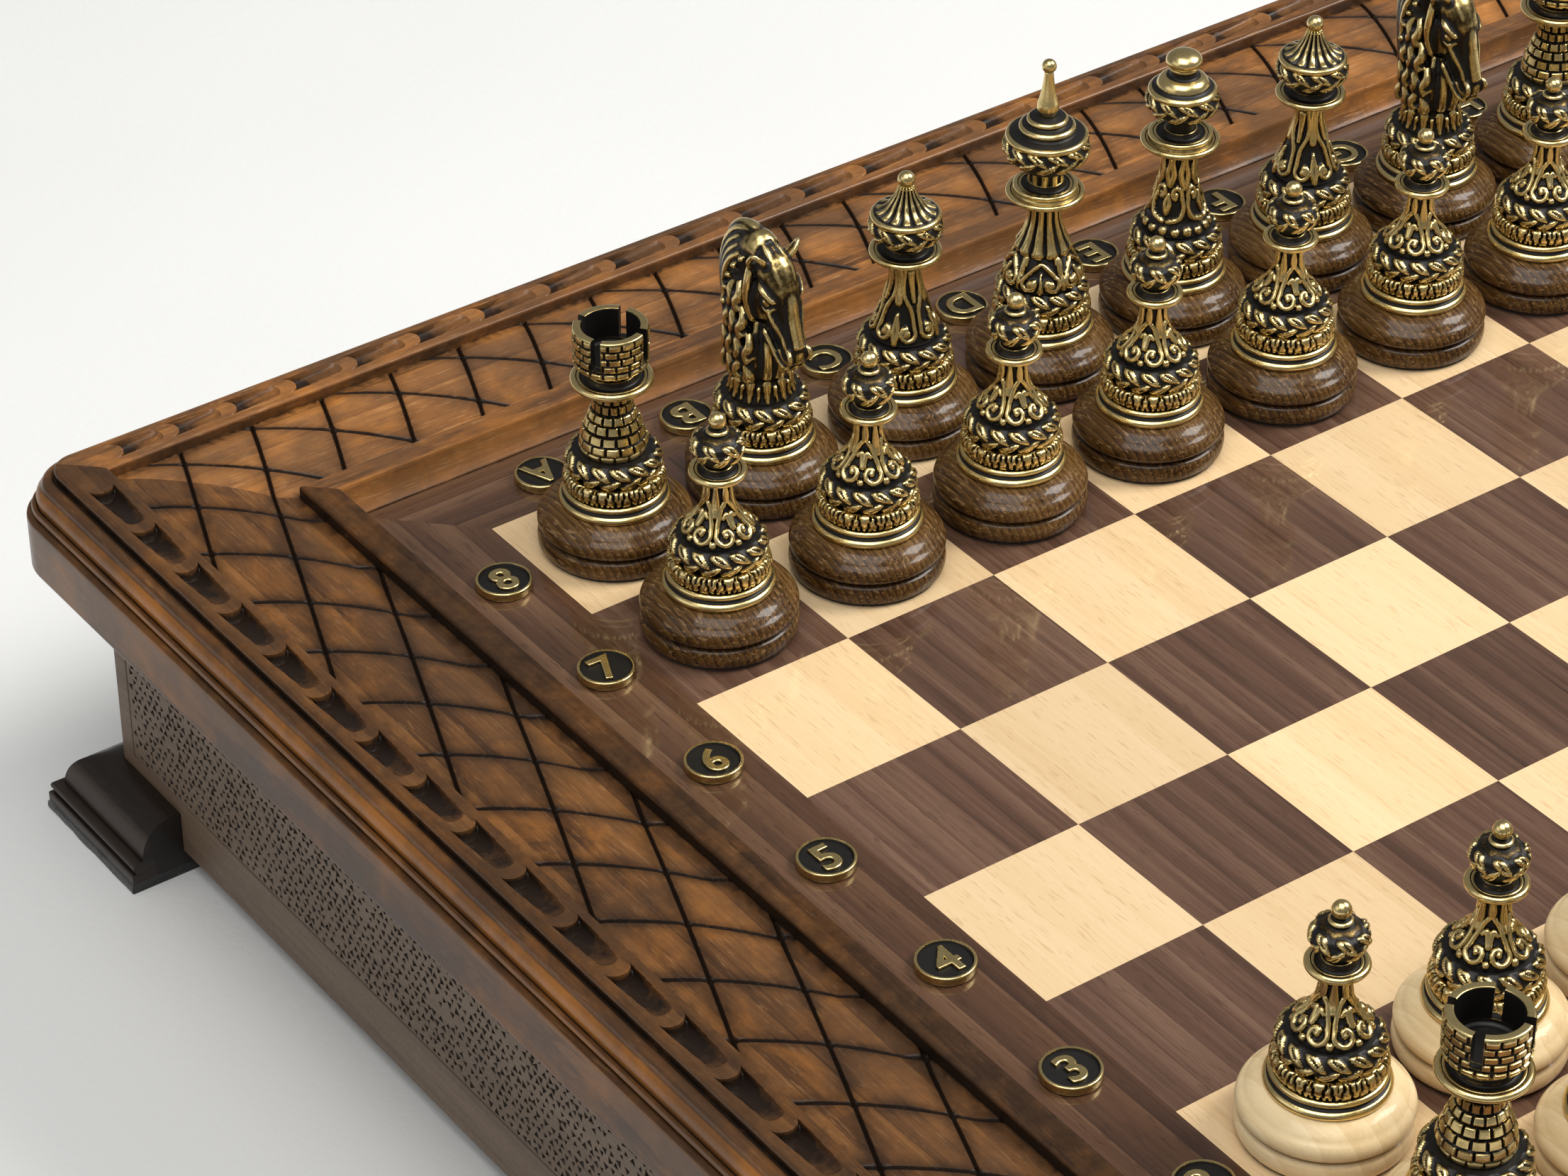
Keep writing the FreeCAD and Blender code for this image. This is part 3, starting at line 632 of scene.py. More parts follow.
def ball_piece():
    shell = Shell()
    foot_rings(shell)
    body = [
        (0.5, 28.2, 0, DARK), (9.2, 28.6, 0, DARK), (7.5, 32.6, 0.2, 0.2), (5.5, 39.8, 0.1, 0.2),
        (4.3, 47.6, -0.1, 0.2), (4.1, 52.6, 0, 0.2), (0.5, 52.8, 0, DARK),
    ]
    rising = curve((1.0, 4.4), (4.6, 5.6), (6.0, 8.6), (5.4, 11.4))
    strokes = [
        (rising + spiral((3.2, 12.0), -0.2, 4.6, (2.4, 1.1)), 0.75, 0.6),
        ([(3.2, 12.0)], 0.8, 0.8),
        ([(0.0, 1.9)], 1.3, 1.3),
        ([(3.4, 1.7)], 1.2, 1.2),
        ([(6.7, 1.9)], 1.3, 1.3),
        (curve((0.0, 7.0), (0.8, 9.4), (0.0, 12.0)), 0.9, 0.5),
        (curve((0.0, 14.6), (1.6, 17.6), (0.3, 21.0), (1.2, 24.4)), 0.95, 0.8),
        (curve((6.7, 14.0), (4.9, 17.6), (6.3, 21.4), (5.4, 24.4)), 0.95, 0.8),
    ]
    lathe(shell, path(body, 0.38), 160, scrolls(4, 8.6, strokes, 1.0, lead=8.7))
    collar(shell, 10.6, 53.3, 54.9, 4.3, 7.4)
    collar(shell, 8.7, 55.2, 56.6, 7.2, 4.2)
    neck = [(0.5, 56.6, 0, DARK), (4.0, 56.8, 0, DARK), (4.1, 62.4, -0.2, DARK), (0.5, 62.6, 0, DARK)]
    lathe(shell, path(neck), 64)
    bowl = [
        (0.5, 61.2, 0, DARK), (4.6, 61.4, 0, DARK), (8.4, 63.4, 0.35, 0.34),
        (8.6, 68.2, 0.85, 0.34), (8.3, 68.5, 0, DARK), (0.5, 68.6, 0, DARK),
    ]
    lathe(shell, path(bowl, 0.38), 144, wreath(10, 0.9, 11.1, 3.2, lean=0.6, width=0.33))
    dome = [
        (0.5, 68.0, 0, DARK), (8.6, 68.2, 0, WORN), (8.3, 70.0, 0.6, POLISHED),
        (7.2, 70.5, 0, DARK), (6.9, 70.9, 0, WORN), (4.6, 73.2, 0.5, POLISHED),
        (3.7, 73.6, 0, DARK), (3.5, 74.9, 0, DARK), (3.7, 75.2, 0, WORN),
        (3.5, 76.0, 0.3, POLISHED), (0.5, 76.2, 0, DARK),
    ]
    lathe(shell, path(dome, 0.35), 80)
    ball(shell, 77.6, 4.8, flat=0.59, columns=64)
    return shell


# ---------------------------------------------------------------- the horse's head
def tube(shell, line, widths, sides):
    """A closed tube along a line. widths are pairs of half-widths, in the line's own plane and
    along X, or single numbers that stand for both."""
    line = np.array(line, float)
    tangent = np.gradient(line, axis=0)
    tangent /= np.linalg.norm(tangent, axis=1)[:, None] + 1e-9
    side = np.tile([1.0, 0.0, 0.0], (len(line), 1))
    side -= tangent * (side * tangent).sum(1)[:, None]
    side /= np.linalg.norm(side, axis=1)[:, None] + 1e-9
    other = np.cross(tangent, side)
    angles = TAU * np.arange(sides) / sides
    rings = []
    for index, centre in enumerate(line):
        a, b = np.broadcast_to(widths[index], 2)
        ring = centre + other[index] * a * np.cos(angles)[:, None]
        rings.append(ring + side[index] * b * np.sin(angles)[:, None])
    shell.add(np.concatenate(rings), tube_faces(len(line), sides))


def strand(shell, points, start, end, count=14, sides=8):
    """A lock of hair or a cord-like ridge that thins out from start to end."""
    line = curve(*points, count=count)
    share = np.linspace(0, 1, count)
    widths = list(start + (end - start) * share)
    widths[-1] = min(widths[-1], 0.2)
    tube(shell, line, widths, sides)


def pebble(shell, centre, sizes, rings=10, sides=14):
    """An ellipsoid."""
    heights = np.linspace(-1, 1, rings + 2)[1:-1]
    angles = TAU * np.arange(sides) / sides
    spread = np.sqrt(1 - heights**2)
    x = centre[0] + sizes[0] * spread[:, None] * np.cos(angles)
    y = centre[1] + sizes[1] * spread[:, None] * np.sin(angles)
    z = np.broadcast_to((centre[2] + sizes[2] * heights)[:, None], x.shape)
    shell.add(np.stack([x, y, z], -1), tube_faces(rings, sides))


def horse_parts():
    """Neck, head, jaw, ears, mane and face of a horse that looks towards -Y, as rough solids."""
    shell = Shell()
    neck = [
        (0.3, 33.4, 7.2, 6.9), (0.8, 38.0, 7.3, 6.6), (2.2, 44.0, 7.5, 5.9), (3.8, 51.0, 7.8, 5.4),
        (4.6, 58.0, 8.0, 5.0), (3.8, 65.0, 7.2, 4.6), (1.0, 69.8, 5.2, 4.4), (-2.6, 69.8, 4.0, 4.2),
    ]
    head = [
        (-1.0, 69.0, 4.0, 4.2), (-5.8, 66.6, 4.9, 4.9), (-8.2, 62.4, 4.8, 4.9),
        (-9.6, 57.6, 4.1, 4.1), (-11.3, 53.0, 3.2, 3.1), (-13.0, 49.2, 2.8, 2.7),
        (-14.2, 46.2, 2.8, 2.9), (-14.6, 43.8, 1.9, 2.1),
    ]
    for line, sides in ((neck, 28), (head, 24)):
        count = 4 * len(line)
        place = curve(*[(0, y, z) for y, z, _, _ in line], count=count)
        share = np.linspace(0, len(line) - 1, count)
        sizes = [np.interp(share, range(len(line)), [entry[k] for entry in line]) for k in (2, 3)]
        tube(shell, place, list(zip(*sizes)), sides)
    jaw = curve((0, -4.0, 55.5), (0, -7.6, 51.0), (0, -10.8, 47.0), (0, -12.8, 43.2), count=16)
    widths = np.linspace(3.6, 1.7, 16)
    tube(shell, jaw, list(zip(widths, widths * 0.85)), 16)
    pebble(shell, (0, -13.4, 42.4), (2.1, 1.8, 1.5))
    back = [
        (0, -1.0, 72.6), (0, 4.6, 73.9), (0, 10.0, 71.0), (0, 12.6, 64.4),
        (0, 12.6, 57.0), (0, 11.2, 49.0), (0, 9.0, 42.0), (0, 7.6, 36.0),
    ]
    strand(shell, back, 1.8, 1.4, 36, 12)
    bridge = [(0, -8.4, 65.6), (0, -11.9, 61.0), (0, -13.3, 56.0), (0, -15.2, 50.2), (0, -16.2, 48.0)]
    strand(shell, bridge, 2.0, 1.7, 20, 12)
    for side in (-1, 1):
        horse_face(shell, side)
        horse_mane(shell, side)
    for across in (-1.6, 0.0, 1.6):
        lock = [(across * 0.5, 0.0, 72.8), (across, -5.4, 71.2), (across * 1.4, -10.0, 67.4)]
        strand(shell, lock + [(across * 0.8, -12.2, 62.8)], 1.15, 0.5)
    for across, behind in ((0.0, 0.0), (3.0, 1.0), (-3.0, 1.0), (5.2, 3.0), (-5.2, 3.0)):
        chest = [(0.6, -5.6, 51.0), (0.9, -7.4, 45.0), (1.0, -7.8, 39.5), (0.85, -6.6, 35.4)]
        strand(shell, [(across * x, y + behind, z) for x, y, z in chest], 1.0, 2.0, 16)
    return shell


def horse_face(shell, side):
    """Cheek, brow, eye, nose, nostril, lips and ear of one side."""

    def ridge_line(points, start, end, count=14):
        strand(shell, [(side * x, y, z) for x, y, z in points], start, end, count)

    pebble(shell, (side * 2.9, -4.4, 58.4), (2.6, 5.0, 6.0))
    pebble(shell, (side * 4.6, -9.0, 60.2), (1.0, 1.5, 1.2))
    ridge_line([(3.2, -5.4, 64.6), (5.3, -8.2, 63.2), (4.2, -11.8, 60.6)], 1.2, 0.7)
    ridge_line([(4.4, -7.0, 58.6), (4.8, -9.6, 57.9), (3.6, -11.4, 59.2)], 0.75, 0.4)
    ridge_line([(4.7, -9.4, 58.4), (4.3, -11.2, 55.2), (3.0, -13.0, 51.6), (3.0, -14.6, 48.4)], 0.8, 0.6)
    nostril = [
        (2.6 - 0.5 * math.cos(a), -15.2 + 1.5 * math.cos(a), 46.3 + 1.5 * math.sin(a))
        for a in np.linspace(0, TAU, 9)
    ]
    ridge_line(nostril, 0.72, 0.72, 20)
    ridge_line([(2.0, -15.8, 44.2), (2.7, -13.4, 44.6), (2.7, -11.0, 47.0)], 0.6, 0.4)
    ridge_line([(1.8, -14.8, 42.4), (2.5, -12.4, 42.8), (2.9, -9.4, 46.0), (3.6, -6.0, 51.0)], 0.9, 0.9)
    cheek = [(4.2, -2.4, 68.4), (5.8, -2.6, 64.0), (6.0, -2.4, 58.0), (4.9, -3.6, 51.6)]
    ridge_line(cheek, 1.3, 1.0, 18)
    ridge_line([(4.6, -2.6, 67.6), (6.6, -4.2, 70.0), (7.0, -6.4, 73.2)], 1.1, 0.6, 12)
    ridge_line([(2.8, -5.8, 68.2), (4.8, -7.4, 70.8), (7.0, -6.4, 73.2)], 1.0, 0.6, 12)


def horse_mane(shell, side):
    """The locks of one side: four that sweep over the crest, a row of beads, and short curled
    locks in tiers down the neck that end in a rounded hem."""
    for index in range(4):
        out = 1.5 * index
        lock = [
            (0.9 + 0.2 * index, -0.6 + 0.3 * index, 73.0 - 0.9 * index),
            (1.6 + 0.75 * index, 5.8 - 0.7 * out, 73.4 - 1.1 * out),
            (2.2 + 0.85 * index, 11.0 - 0.95 * out, 68.0 - 0.8 * out),
            (2.8 + 0.8 * index, 12.4 - 0.9 * out, 60.0 - 0.4 * out),
            (3.4 + 0.75 * index, 11.0 - 0.85 * out, 50.0),
            (4.0 + 0.7 * index, 9.0 - 0.85 * out, 41.0),
        ]
        strand(shell, [(side * x, y, z) for x, y, z in lock], 1.2, 0.8, 26)
    beads = curve((5.2, 1.0, 68.0), (5.9, 4.2, 64.0), (6.0, 6.4, 58.8), (6.2, 7.4, 53.0), count=5)
    for x, y, z in beads:
        pebble(shell, (side * x, y, z), (1.0, 0.95, 0.95), 6, 10)
    for tier, (level, out, first, locks) in enumerate(
        [(57.5, 5.3, 4.6, 2), (51.0, 6.0, 5.6, 3), (45.0, 6.6, 6.0, 4), (39.6, 7.0, 5.6, 4)]
    ):
        for index in range(locks):
            y = first - 3.3 * index
            lean = 0.9 if (tier + index) % 2 else -0.9
            x = out * math.sqrt(max(0.1, 1 - (y / 11.0) ** 2))
            lock = [
                (x - 0.5, y + lean, level + 3.4), (x + 0.5, y - 0.5 * lean, level + 0.6),
                (x + 0.7, y + 0.5 * lean, level - 2.2), (x + 0.1, y - 0.8 * lean, level - 4.2),
            ]
            strand(shell, [(side * a, b, c) for a, b, c in lock], 0.9, 2.0, 12)


def melted(shell, voxel, rounds):
    """One even skin over overlapping solids, with the tone of each vertex from how far it stands
    out. Works in millimetres."""
    mesh = bpy.data.meshes.new("rough")
    mesh.from_pydata(np.concatenate(shell.points).tolist(), [], shell.faces)
    rough = placed("rough", mesh)
    skin = rough.modifiers.new("skin", "REMESH")
    skin.mode = "VOXEL"
    skin.voxel_size = voxel
    ease = rough.modifiers.new("ease", "SMOOTH")
    ease.factor = 0.5
    ease.iterations = rounds
    graph = bpy.context.evaluated_depsgraph_get()
    graph.update()
    result = bpy.data.meshes.new_from_object(rough.evaluated_get(graph))
    count = len(result.vertices)
    points = np.empty(count * 3)
    result.vertices.foreach_get("co", points)
    points = points.reshape(-1, 3)
    normals = np.array([v.normal[:] for v in result.vertices])
    faces = [tuple(p.vertices) for p in result.polygons]
    edges = np.array([e.vertices[:] for e in result.edges])
    bpy.data.objects.remove(rough)
    bpy.data.meshes.remove(mesh)
    bpy.data.meshes.remove(result)
    degree = np.bincount(edges.ravel(), minlength=count)[:, None]
    soft = points.copy()
    for _ in range(16):
        total = np.zeros_like(soft)
        np.add.at(total, edges[:, 0], soft[edges[:, 1]])
        np.add.at(total, edges[:, 1], soft[edges[:, 0]])
        soft = 0.3 * soft + 0.7 * total / degree
    standing = ((points - soft) * normals).sum(1)
    skin_shell = Shell()
    skin_shell.add(points, faces, np.clip(0.26 + 4.0 * standing, 0, 1))
    return skin_shell


def knight():
    shell = Shell()
    foot_rings(shell)
    leaf_collar = [
        (0.5, 28.0, 0, DARK), (8.8, 28.4, 0, DARK), (7.6, 32.4, -0.3, 0.2), (7.2, 34.6, 0, 0.2),
        (0.5, 34.8, 0, DARK),
    ]
    leaves = [
        ([(0.0, 0.8), (0.0, 3.0), (0.0, 5.6)], 0.5, 1.25),
        ([(2.45, 1.0), (2.45, 4.6)], 0.35, 0.6),
    ]
    lathe(shell, path(leaf_collar, 0.36), 160, scrolls(11, 8.6, leaves, 0.95, lead=8.3))
    shell.add_shell(melted(horse_parts(), 0.40, 2))
    return shell


# ---------------------------------------------------------------- materials
class Graph:
    """A material's node tree, with a short call for each kind of node."""

    def __init__(self, name):
        self.material = bpy.data.materials.new(name)
        self.material.use_nodes = True
        self.tree = self.material.node_tree
        self.shader = self.tree.nodes["Principled BSDF"]
        self.place = self.add("ShaderNodeTexCoord").outputs["Object"]

    def add(self, kind, inputs=(), **settings):
        node = self.tree.nodes.new(kind)
        for key, value in settings.items():
            setattr(node, key, value)
        for key, value in dict(inputs).items():
            self.feed(node.inputs[key], value)
        return node

    def feed(self, socket, value):
        if isinstance(value, bpy.types.NodeSocket):
            self.tree.links.new(value, socket)
        elif socket.type == "RGBA":
            socket.default_value = (*value, 1.0)
        else:
            socket.default_value = value

    def set(self, **values):
        """Feeds inputs of the shader, such as Base_Color=..."""
        for key, value in values.items():
            self.feed(self.shader.inputs[key.replace("_", " ")], value)

    def stretched(self, scale, turn=(0, 0, 0)):
        inputs = {"Vector": self.place, "Scale": scale, "Rotation": turn}
        return self.add("ShaderNodeMapping", inputs).outputs[0]

    def noise(self, vector, scale, detail, rough=0.55, twist=0.0):
        inputs = {"Vector": vector, "Scale": scale, "Detail": detail, "Roughness": rough}
        return self.add("ShaderNodeTexNoise", {**inputs, "Distortion": twist}).outputs[0]

    def bands(self, vector, scale, twist, axis="X"):
        inputs = {"Vector": vector, "Scale": scale, "Distortion": twist}
        inputs.update({"Detail": 3.0, "Detail Scale": 1.2})
        node = self.add("ShaderNodeTexWave", inputs, bands_direction=axis, wave_profile="SAW")
        return node.outputs["Fac"]

    def ramp(self, value, *stops):
        node = self.add("ShaderNodeValToRGB", {"Fac": value})
        elements = node.color_ramp.elements
        while len(elements) < len(stops):
            elements.new(0.5)
        for element, (position, colour) in zip(elements, stops):
            element.position = position
            colour = (colour,) * 3 if isinstance(colour, (int, float)) else colour
            element.color = (*colour, 1.0)
        return node.outputs["Color"]

    def mix(self, share, first, second, blend="MIX"):
        node = self.add("ShaderNodeMix", data_type="RGBA", blend_type=blend)
        self.feed(node.inputs[0], share)
        self.feed(node.inputs[6], first)
        self.feed(node.inputs[7], second)
        return node.outputs[2]

    def sum(self, operation, first, second=0.0, third=0.0, clamp=False):
        node = self.add("ShaderNodeMath", operation=operation, use_clamp=clamp)
        for socket, value in zip(node.inputs, (first, second, third)):
            self.feed(socket, value)
        return node.outputs[0]

    def tone(self):
        return self.add("ShaderNodeAttribute", attribute_name="tone").outputs["Fac"]

    def axis(self, index):
        return self.add("ShaderNodeSeparateXYZ", {"Vector": self.place}).outputs[index]

    def bump(self, height, distance, strength):
        inputs = {"Height": height, "Distance": distance, "Strength": strength}
        return self.add("ShaderNodeBump", inputs).outputs[0]


def antique_brass():
    """Brass that is polished where it stands proud and nearly black where it lies low."""
    graph = Graph("antique_brass")
    tone = graph.tone()
    patches = graph.noise(graph.place, 420.0, 4.0, 0.6)
    specks = graph.noise(graph.place, 1900.0, 3.0, 0.6)
    value = graph.sum("MULTIPLY_ADD", graph.sum("SUBTRACT", patches, 0.5), 0.52, tone)
    value = graph.sum("MULTIPLY_ADD", graph.sum("SUBTRACT", specks, 0.5), 0.30, value)
    colour = graph.ramp(
        value,
        (0.14, (0.007, 0.006, 0.005)),
        (0.38, (0.020, 0.014, 0.008)),
        (0.52, (0.15, 0.10, 0.038)),
        (0.68, (0.48, 0.365, 0.15)),
        (0.95, (0.77, 0.60, 0.27)),
    )
    metal = graph.ramp(value, (0.15, 0.3), (0.45, 1.0))
    dull = graph.ramp(value, (0.2, 0.48), (0.55, 0.30), (0.95, 0.215))
    scratch = graph.noise(graph.stretched((1, 1, 9)), 700.0, 2.0)
    dull = graph.mix(graph.sum("MULTIPLY", scratch, 0.3), dull, (0.4, 0.4, 0.4))
    low = graph.bump(specks, 0.00006, 0.5)
    graph.set(Base_Color=colour, Metallic=metal, Roughness=dull, Normal=low)
    return graph.material


def scaled(colour, factor):
    return tuple(channel * factor for channel in colour)


def drawn_out(grain, share):
    """Scale of a texture whose marks are 1 / share times as long along the grain as across it."""
    return tuple(share if axis == grain else 1 for axis in "XYZ")


def lay_wood(graph, grain, dark, mid, light, fleck, fleck_share, figure, twist, striped=0.35):
    """Colour and height of wood with growth figure, fine fibre and short pores. grain is the axis
    that it runs along and striped is how much the growth rings show."""
    across = "Y" if grain == "X" else "X"
    stretched = graph.stretched(drawn_out(grain, 0.05))
    broad = graph.noise(stretched, figure, 3.0, 0.5, 0.4)
    rings = graph.sum("SUBTRACT", graph.bands(stretched, figure * 0.45, twist, across), 0.5)
    fibre = graph.noise(graph.stretched(drawn_out(grain, 0.02)), 900.0, 3.0, 0.6)
    pores = graph.noise(graph.stretched(drawn_out(grain, 0.10)), 1500.0, 2.0, 0.5)
    value = graph.sum("MULTIPLY_ADD", rings, striped, graph.sum("MULTIPLY_ADD", broad, 0.6, 0.175))
    value = graph.sum("MULTIPLY_ADD", graph.sum("SUBTRACT", fibre, 0.5), 0.45, value)
    colour = graph.ramp(value, (0.22, dark), (0.46, mid), (0.74, light))
    marks = graph.ramp(pores, (0.60, 0.0), (0.68, 1.0))
    colour = graph.mix(graph.sum("MULTIPLY", marks, fleck_share), colour, fleck)
    height = graph.sum("SUBTRACT", fibre, graph.sum("MULTIPLY", marks, 0.8))
    return colour, height, fibre


def carved_wood(name, grain, painted_sheen):
    """Stained walnut of the frame: flame patches, cuts darkened by staining and painted shade, satin
    lacquer. A tone above nothing darkens the wood in patches, staining together with painted shade; a
    tone below it is an orange glow, worn wood together with painted highlight. painted_sheen scales
    every colour, a painted sheen that is larger on the rank sides."""
    graph = Graph(name)
    tones = ((0.032, 0.014, 0.006), (0.102, 0.043, 0.014), (0.185, 0.080, 0.024), (0.24, 0.13, 0.055))
    # painted_sheen scales every colour as a whole: a painted sheen, larger on the rank sides.
    tones = [scaled(entry, painted_sheen) for entry in tones]
    colour, height, fibre = lay_wood(graph, grain, *tones, 0.4, 60.0, 9.0, 0.25)
    flame = graph.noise(graph.stretched(drawn_out(grain, 0.5)), 70.0, 5.0, 0.65, 0.8)
    tone = graph.tone()
    # A tone below nothing gives an orange glow on bead crowns and hollows: worn wood together with
    # painted highlight.
    rubbed_and_highlight = graph.sum("MULTIPLY", tone, -1.6, clamp=True)
    glow = graph.sum("MULTIPLY", graph.ramp(flame, (0.46, 0.0), (0.66, 1.0)), 0.42)
    colour = graph.mix(graph.sum("MAXIMUM", glow, rubbed_and_highlight), colour, scaled((0.29, 0.108, 0.019), painted_sheen))
    shade = graph.ramp(graph.noise(graph.place, 26.0, 5.0, 0.65), (0.42, 0.6), (0.60, 0.0))
    colour = graph.mix(shade, colour, scaled((0.040, 0.022, 0.012), painted_sheen))
    # A tone above nothing darkens the wood in broken patches: staining together with painted shade in
    # cuts, creases and flutes, and painted shade on the a and h sides.
    broken = graph.sum("MULTIPLY", graph.noise(graph.place, 150.0, 5.0, 0.7), 2.1)
    broken = graph.sum("MULTIPLY", broken, tone)
    colour = graph.mix(graph.ramp(broken, (0.0, 0.0), (0.75, 0.96)), colour, (0.010, 0.006, 0.004))
    graph.set(
        Base_Color=colour,
        Roughness=graph.ramp(fibre, (0.3, 0.30), (0.7, 0.44)),
        Specular_IOR_Level=0.19,
        Coat_Weight=graph.ramp(tone, (0.1, 0.25), (0.5, 0.04)),
        Coat_Roughness=0.14,
        Normal=graph.bump(height, 0.00010, 0.45),
    )
    return graph.material


def tile_variation(graph):
    """White noise that is the same all over a square and differs between squares."""
    parts = graph.add("ShaderNodeSeparateXYZ", {"Vector": graph.place})
    cells = []
    for index in range(2):
        shifted = graph.sum("ADD", parts.outputs[index], HALF_FIELD * MM)
        cells.append(graph.sum("FLOOR", graph.sum("DIVIDE", shifted, SQUARE * MM)))
    joined = graph.add("ShaderNodeCombineXYZ", {"X": cells[0], "Y": cells[1]}).outputs[0]
    return graph.add("ShaderNodeTexWhiteNoise", {"Vector": joined})


def lacquered(graph, colour, height, fibre, rough):
    """Finishes veneer with a clear coat that lies in faint waves."""
    waves = graph.noise(graph.place, 90.0, 2.0)
    graph.set(
        Base_Color=colour,
        Roughness=graph.ramp(fibre, (0.3, rough), (0.7, rough + 0.1)),
        Specular_IOR_Level=0.25,
        Coat_Weight=0.6,
        Coat_Roughness=0.06,
        Normal=graph.bump(height, 0.00004, 0.25),
        Coat_Normal=graph.bump(waves, 0.00010, 0.15),
    )


def mitred_wood(graph, *wood):
    """Wood of four sides that have the grain along them and meet in mitres."""
    x = graph.sum("ABSOLUTE", graph.axis(0))
    y = graph.sum("ABSOLUTE", graph.axis(1))
    along_x = graph.sum("GREATER_THAN", y, x)
    upright, _, _ = lay_wood(graph, "Y", *wood)
    level, height, fibre = lay_wood(graph, "X", *wood)
    return graph.mix(along_x, upright, level), height, fibre


def veneer_squares(name, dark, mid, light, fleck, fleck_share, rough, figure, striped):
    """Lacquered veneer squares, each cut from another place in the sheet, grain along Y."""
    graph = Graph(name)
    variation = tile_variation(graph)
    inputs = {0: variation.outputs["Color"], 1: (3.0, 3.0, 3.0)}
    shift = graph.add("ShaderNodeVectorMath", inputs, operation="MULTIPLY")
    moved = graph.add("ShaderNodeVectorMath", {0: graph.place, 1: shift.outputs[0]}, operation="ADD")
    graph.place = moved.outputs[0]
    wood = (dark, mid, light, fleck, fleck_share, figure)
    colour, height, fibre = lay_wood(graph, "Y", *wood, 4.0, striped)
    level = graph.sum("MULTIPLY_ADD", variation.outputs["Value"], 0.22, 0.89)
    level = graph.add("ShaderNodeCombineColor", {"Red": level, "Green": level, "Blue": level}).outputs[0]
    lacquered(graph, graph.mix(1.0, colour, level, "MULTIPLY"), height, fibre, rough)
    return graph.material


def veneer_border():
    """Lacquered walnut with its grain along each side, so that it meets in mitres."""
    graph = Graph("veneer_border")
    tones = ((0.040, 0.018, 0.010), (0.082, 0.038, 0.019), (0.150, 0.080, 0.042), (0.03, 0.014, 0.008))
    lacquered(graph, *mitred_wood(graph, *tones, 0.5, 60.0, 3.0, 0.3), 0.28)
    return graph.material


def turned_wood(name, dark, mid, light, fleck, fleck_share, figure):
    """Lacquered turned wood: the growth rings lie aslant and show as fine curved lines."""
    graph = Graph(name)
    aslant = (0.35, 0.2, 0.5)
    vector = graph.stretched((1, 0.12, 0.7), aslant)
    broad = graph.noise(vector, 60.0, 3.0, 0.5, 0.5)
    rings = graph.bands(vector, figure, 2.2)
    fibre = graph.noise(graph.stretched((1, 0.05, 1), aslant), 1100.0, 3.0, 0.6)
    value = graph.sum("MULTIPLY_ADD", rings, 0.26, graph.sum("MULTIPLY", broad, 0.62))
    value = graph.sum("MULTIPLY_ADD", graph.sum("SUBTRACT", fibre, 0.5), 0.5, value)
    colour = graph.ramp(value, (0.25, dark), (0.46, mid), (0.70, light))
    pores = graph.noise(graph.stretched((1, 0.14, 1), aslant), 1500.0, 2.0, 0.5)
    marks = graph.ramp(pores, (0.58, 0.0), (0.66, 1.0))
    colour = graph.mix(graph.sum("MULTIPLY", marks, fleck_share), colour, fleck)
    # A tone darkens the wood towards deep brown, painted shade in the base's groove.
    colour = graph.mix(graph.ramp(graph.tone(), (0.0, 0.0), (1.0, 0.8)), colour, scaled(dark, 0.25))
    waves = graph.noise(graph.place, 260.0, 2.0)
    graph.set(
        Base_Color=colour,
        Roughness=graph.ramp(fibre, (0.3, 0.30), (0.7, 0.42)),
        Specular_IOR_Level=0.15,
        Coat_Weight=0.24,
        Coat_Roughness=0.06,
        Normal=graph.bump(fibre, 0.00005, 0.3),
        Coat_Normal=graph.bump(waves, 0.00008, 0.2),
    )
    return graph.material


def apron_wood():
    """Grey-brown satin wood, painted near black in each punch mark and scribed line as shade."""
    graph = Graph("apron_wood")
    tones = ((0.062, 0.038, 0.022), (0.125, 0.083, 0.053), (0.200, 0.142, 0.098), (0.20, 0.145, 0.10))
    colour, height, fibre = mitred_wood(graph, *tones, 0.3, 40.0, 3.0)
    # A tone paints the punch marks and scribed lines near black, painted shade.
    colour = graph.mix(graph.ramp(graph.tone(), (0.0, 0.0), (0.8, 0.97)), colour, (0.008, 0.005, 0.004))
    graph.set(
        Base_Color=colour,
        Roughness=graph.ramp(fibre, (0.3, 0.40), (0.7, 0.54)),
        Specular_IOR_Level=0.3,
        Normal=graph.bump(height, 0.0001, 0.3),
    )
    return graph.material


def foot_wood():
    """Almost black stained wood of the feet, a little open in the grain."""
    graph = Graph("foot_wood")
    tones = ((0.006, 0.004, 0.003), (0.014, 0.009, 0.006), (0.030, 0.017, 0.010))
    colour, height, fibre = lay_wood(graph, "Y", *tones, (0.045, 0.026, 0.015), 0.25, 40.0, 3.0)
    # A tone darkens the creases of the feet, painted shade.
    colour = graph.mix(graph.ramp(graph.tone(), (0.0, 0.0), (1.0, 0.9)), colour, (0.003, 0.002, 0.002))
    graph.set(
        Base_Color=colour,
        Roughness=graph.ramp(fibre, (0.3, 0.34), (0.7, 0.46)),
        Specular_IOR_Level=0.3,
        Coat_Weight=0.15,
        Coat_Roughness=0.2,
        Normal=graph.bump(height, 0.0001, 0.3),
    )
    return graph.material


def plain_wood():
    """Bare pale wood of the parts inside and underneath."""
    graph = Graph("plain_wood")
    tones = ((0.30, 0.19, 0.10), (0.45, 0.31, 0.17), (0.55, 0.40, 0.24))
    colour, height, _ = lay_wood(graph, "X", *tones, (0.25, 0.15, 0.08), 0.3, 30.0, 4.0)
    graph.set(Base_Color=colour, Roughness=0.6, Normal=graph.bump(height, 0.0001, 0.4))
    return graph.material


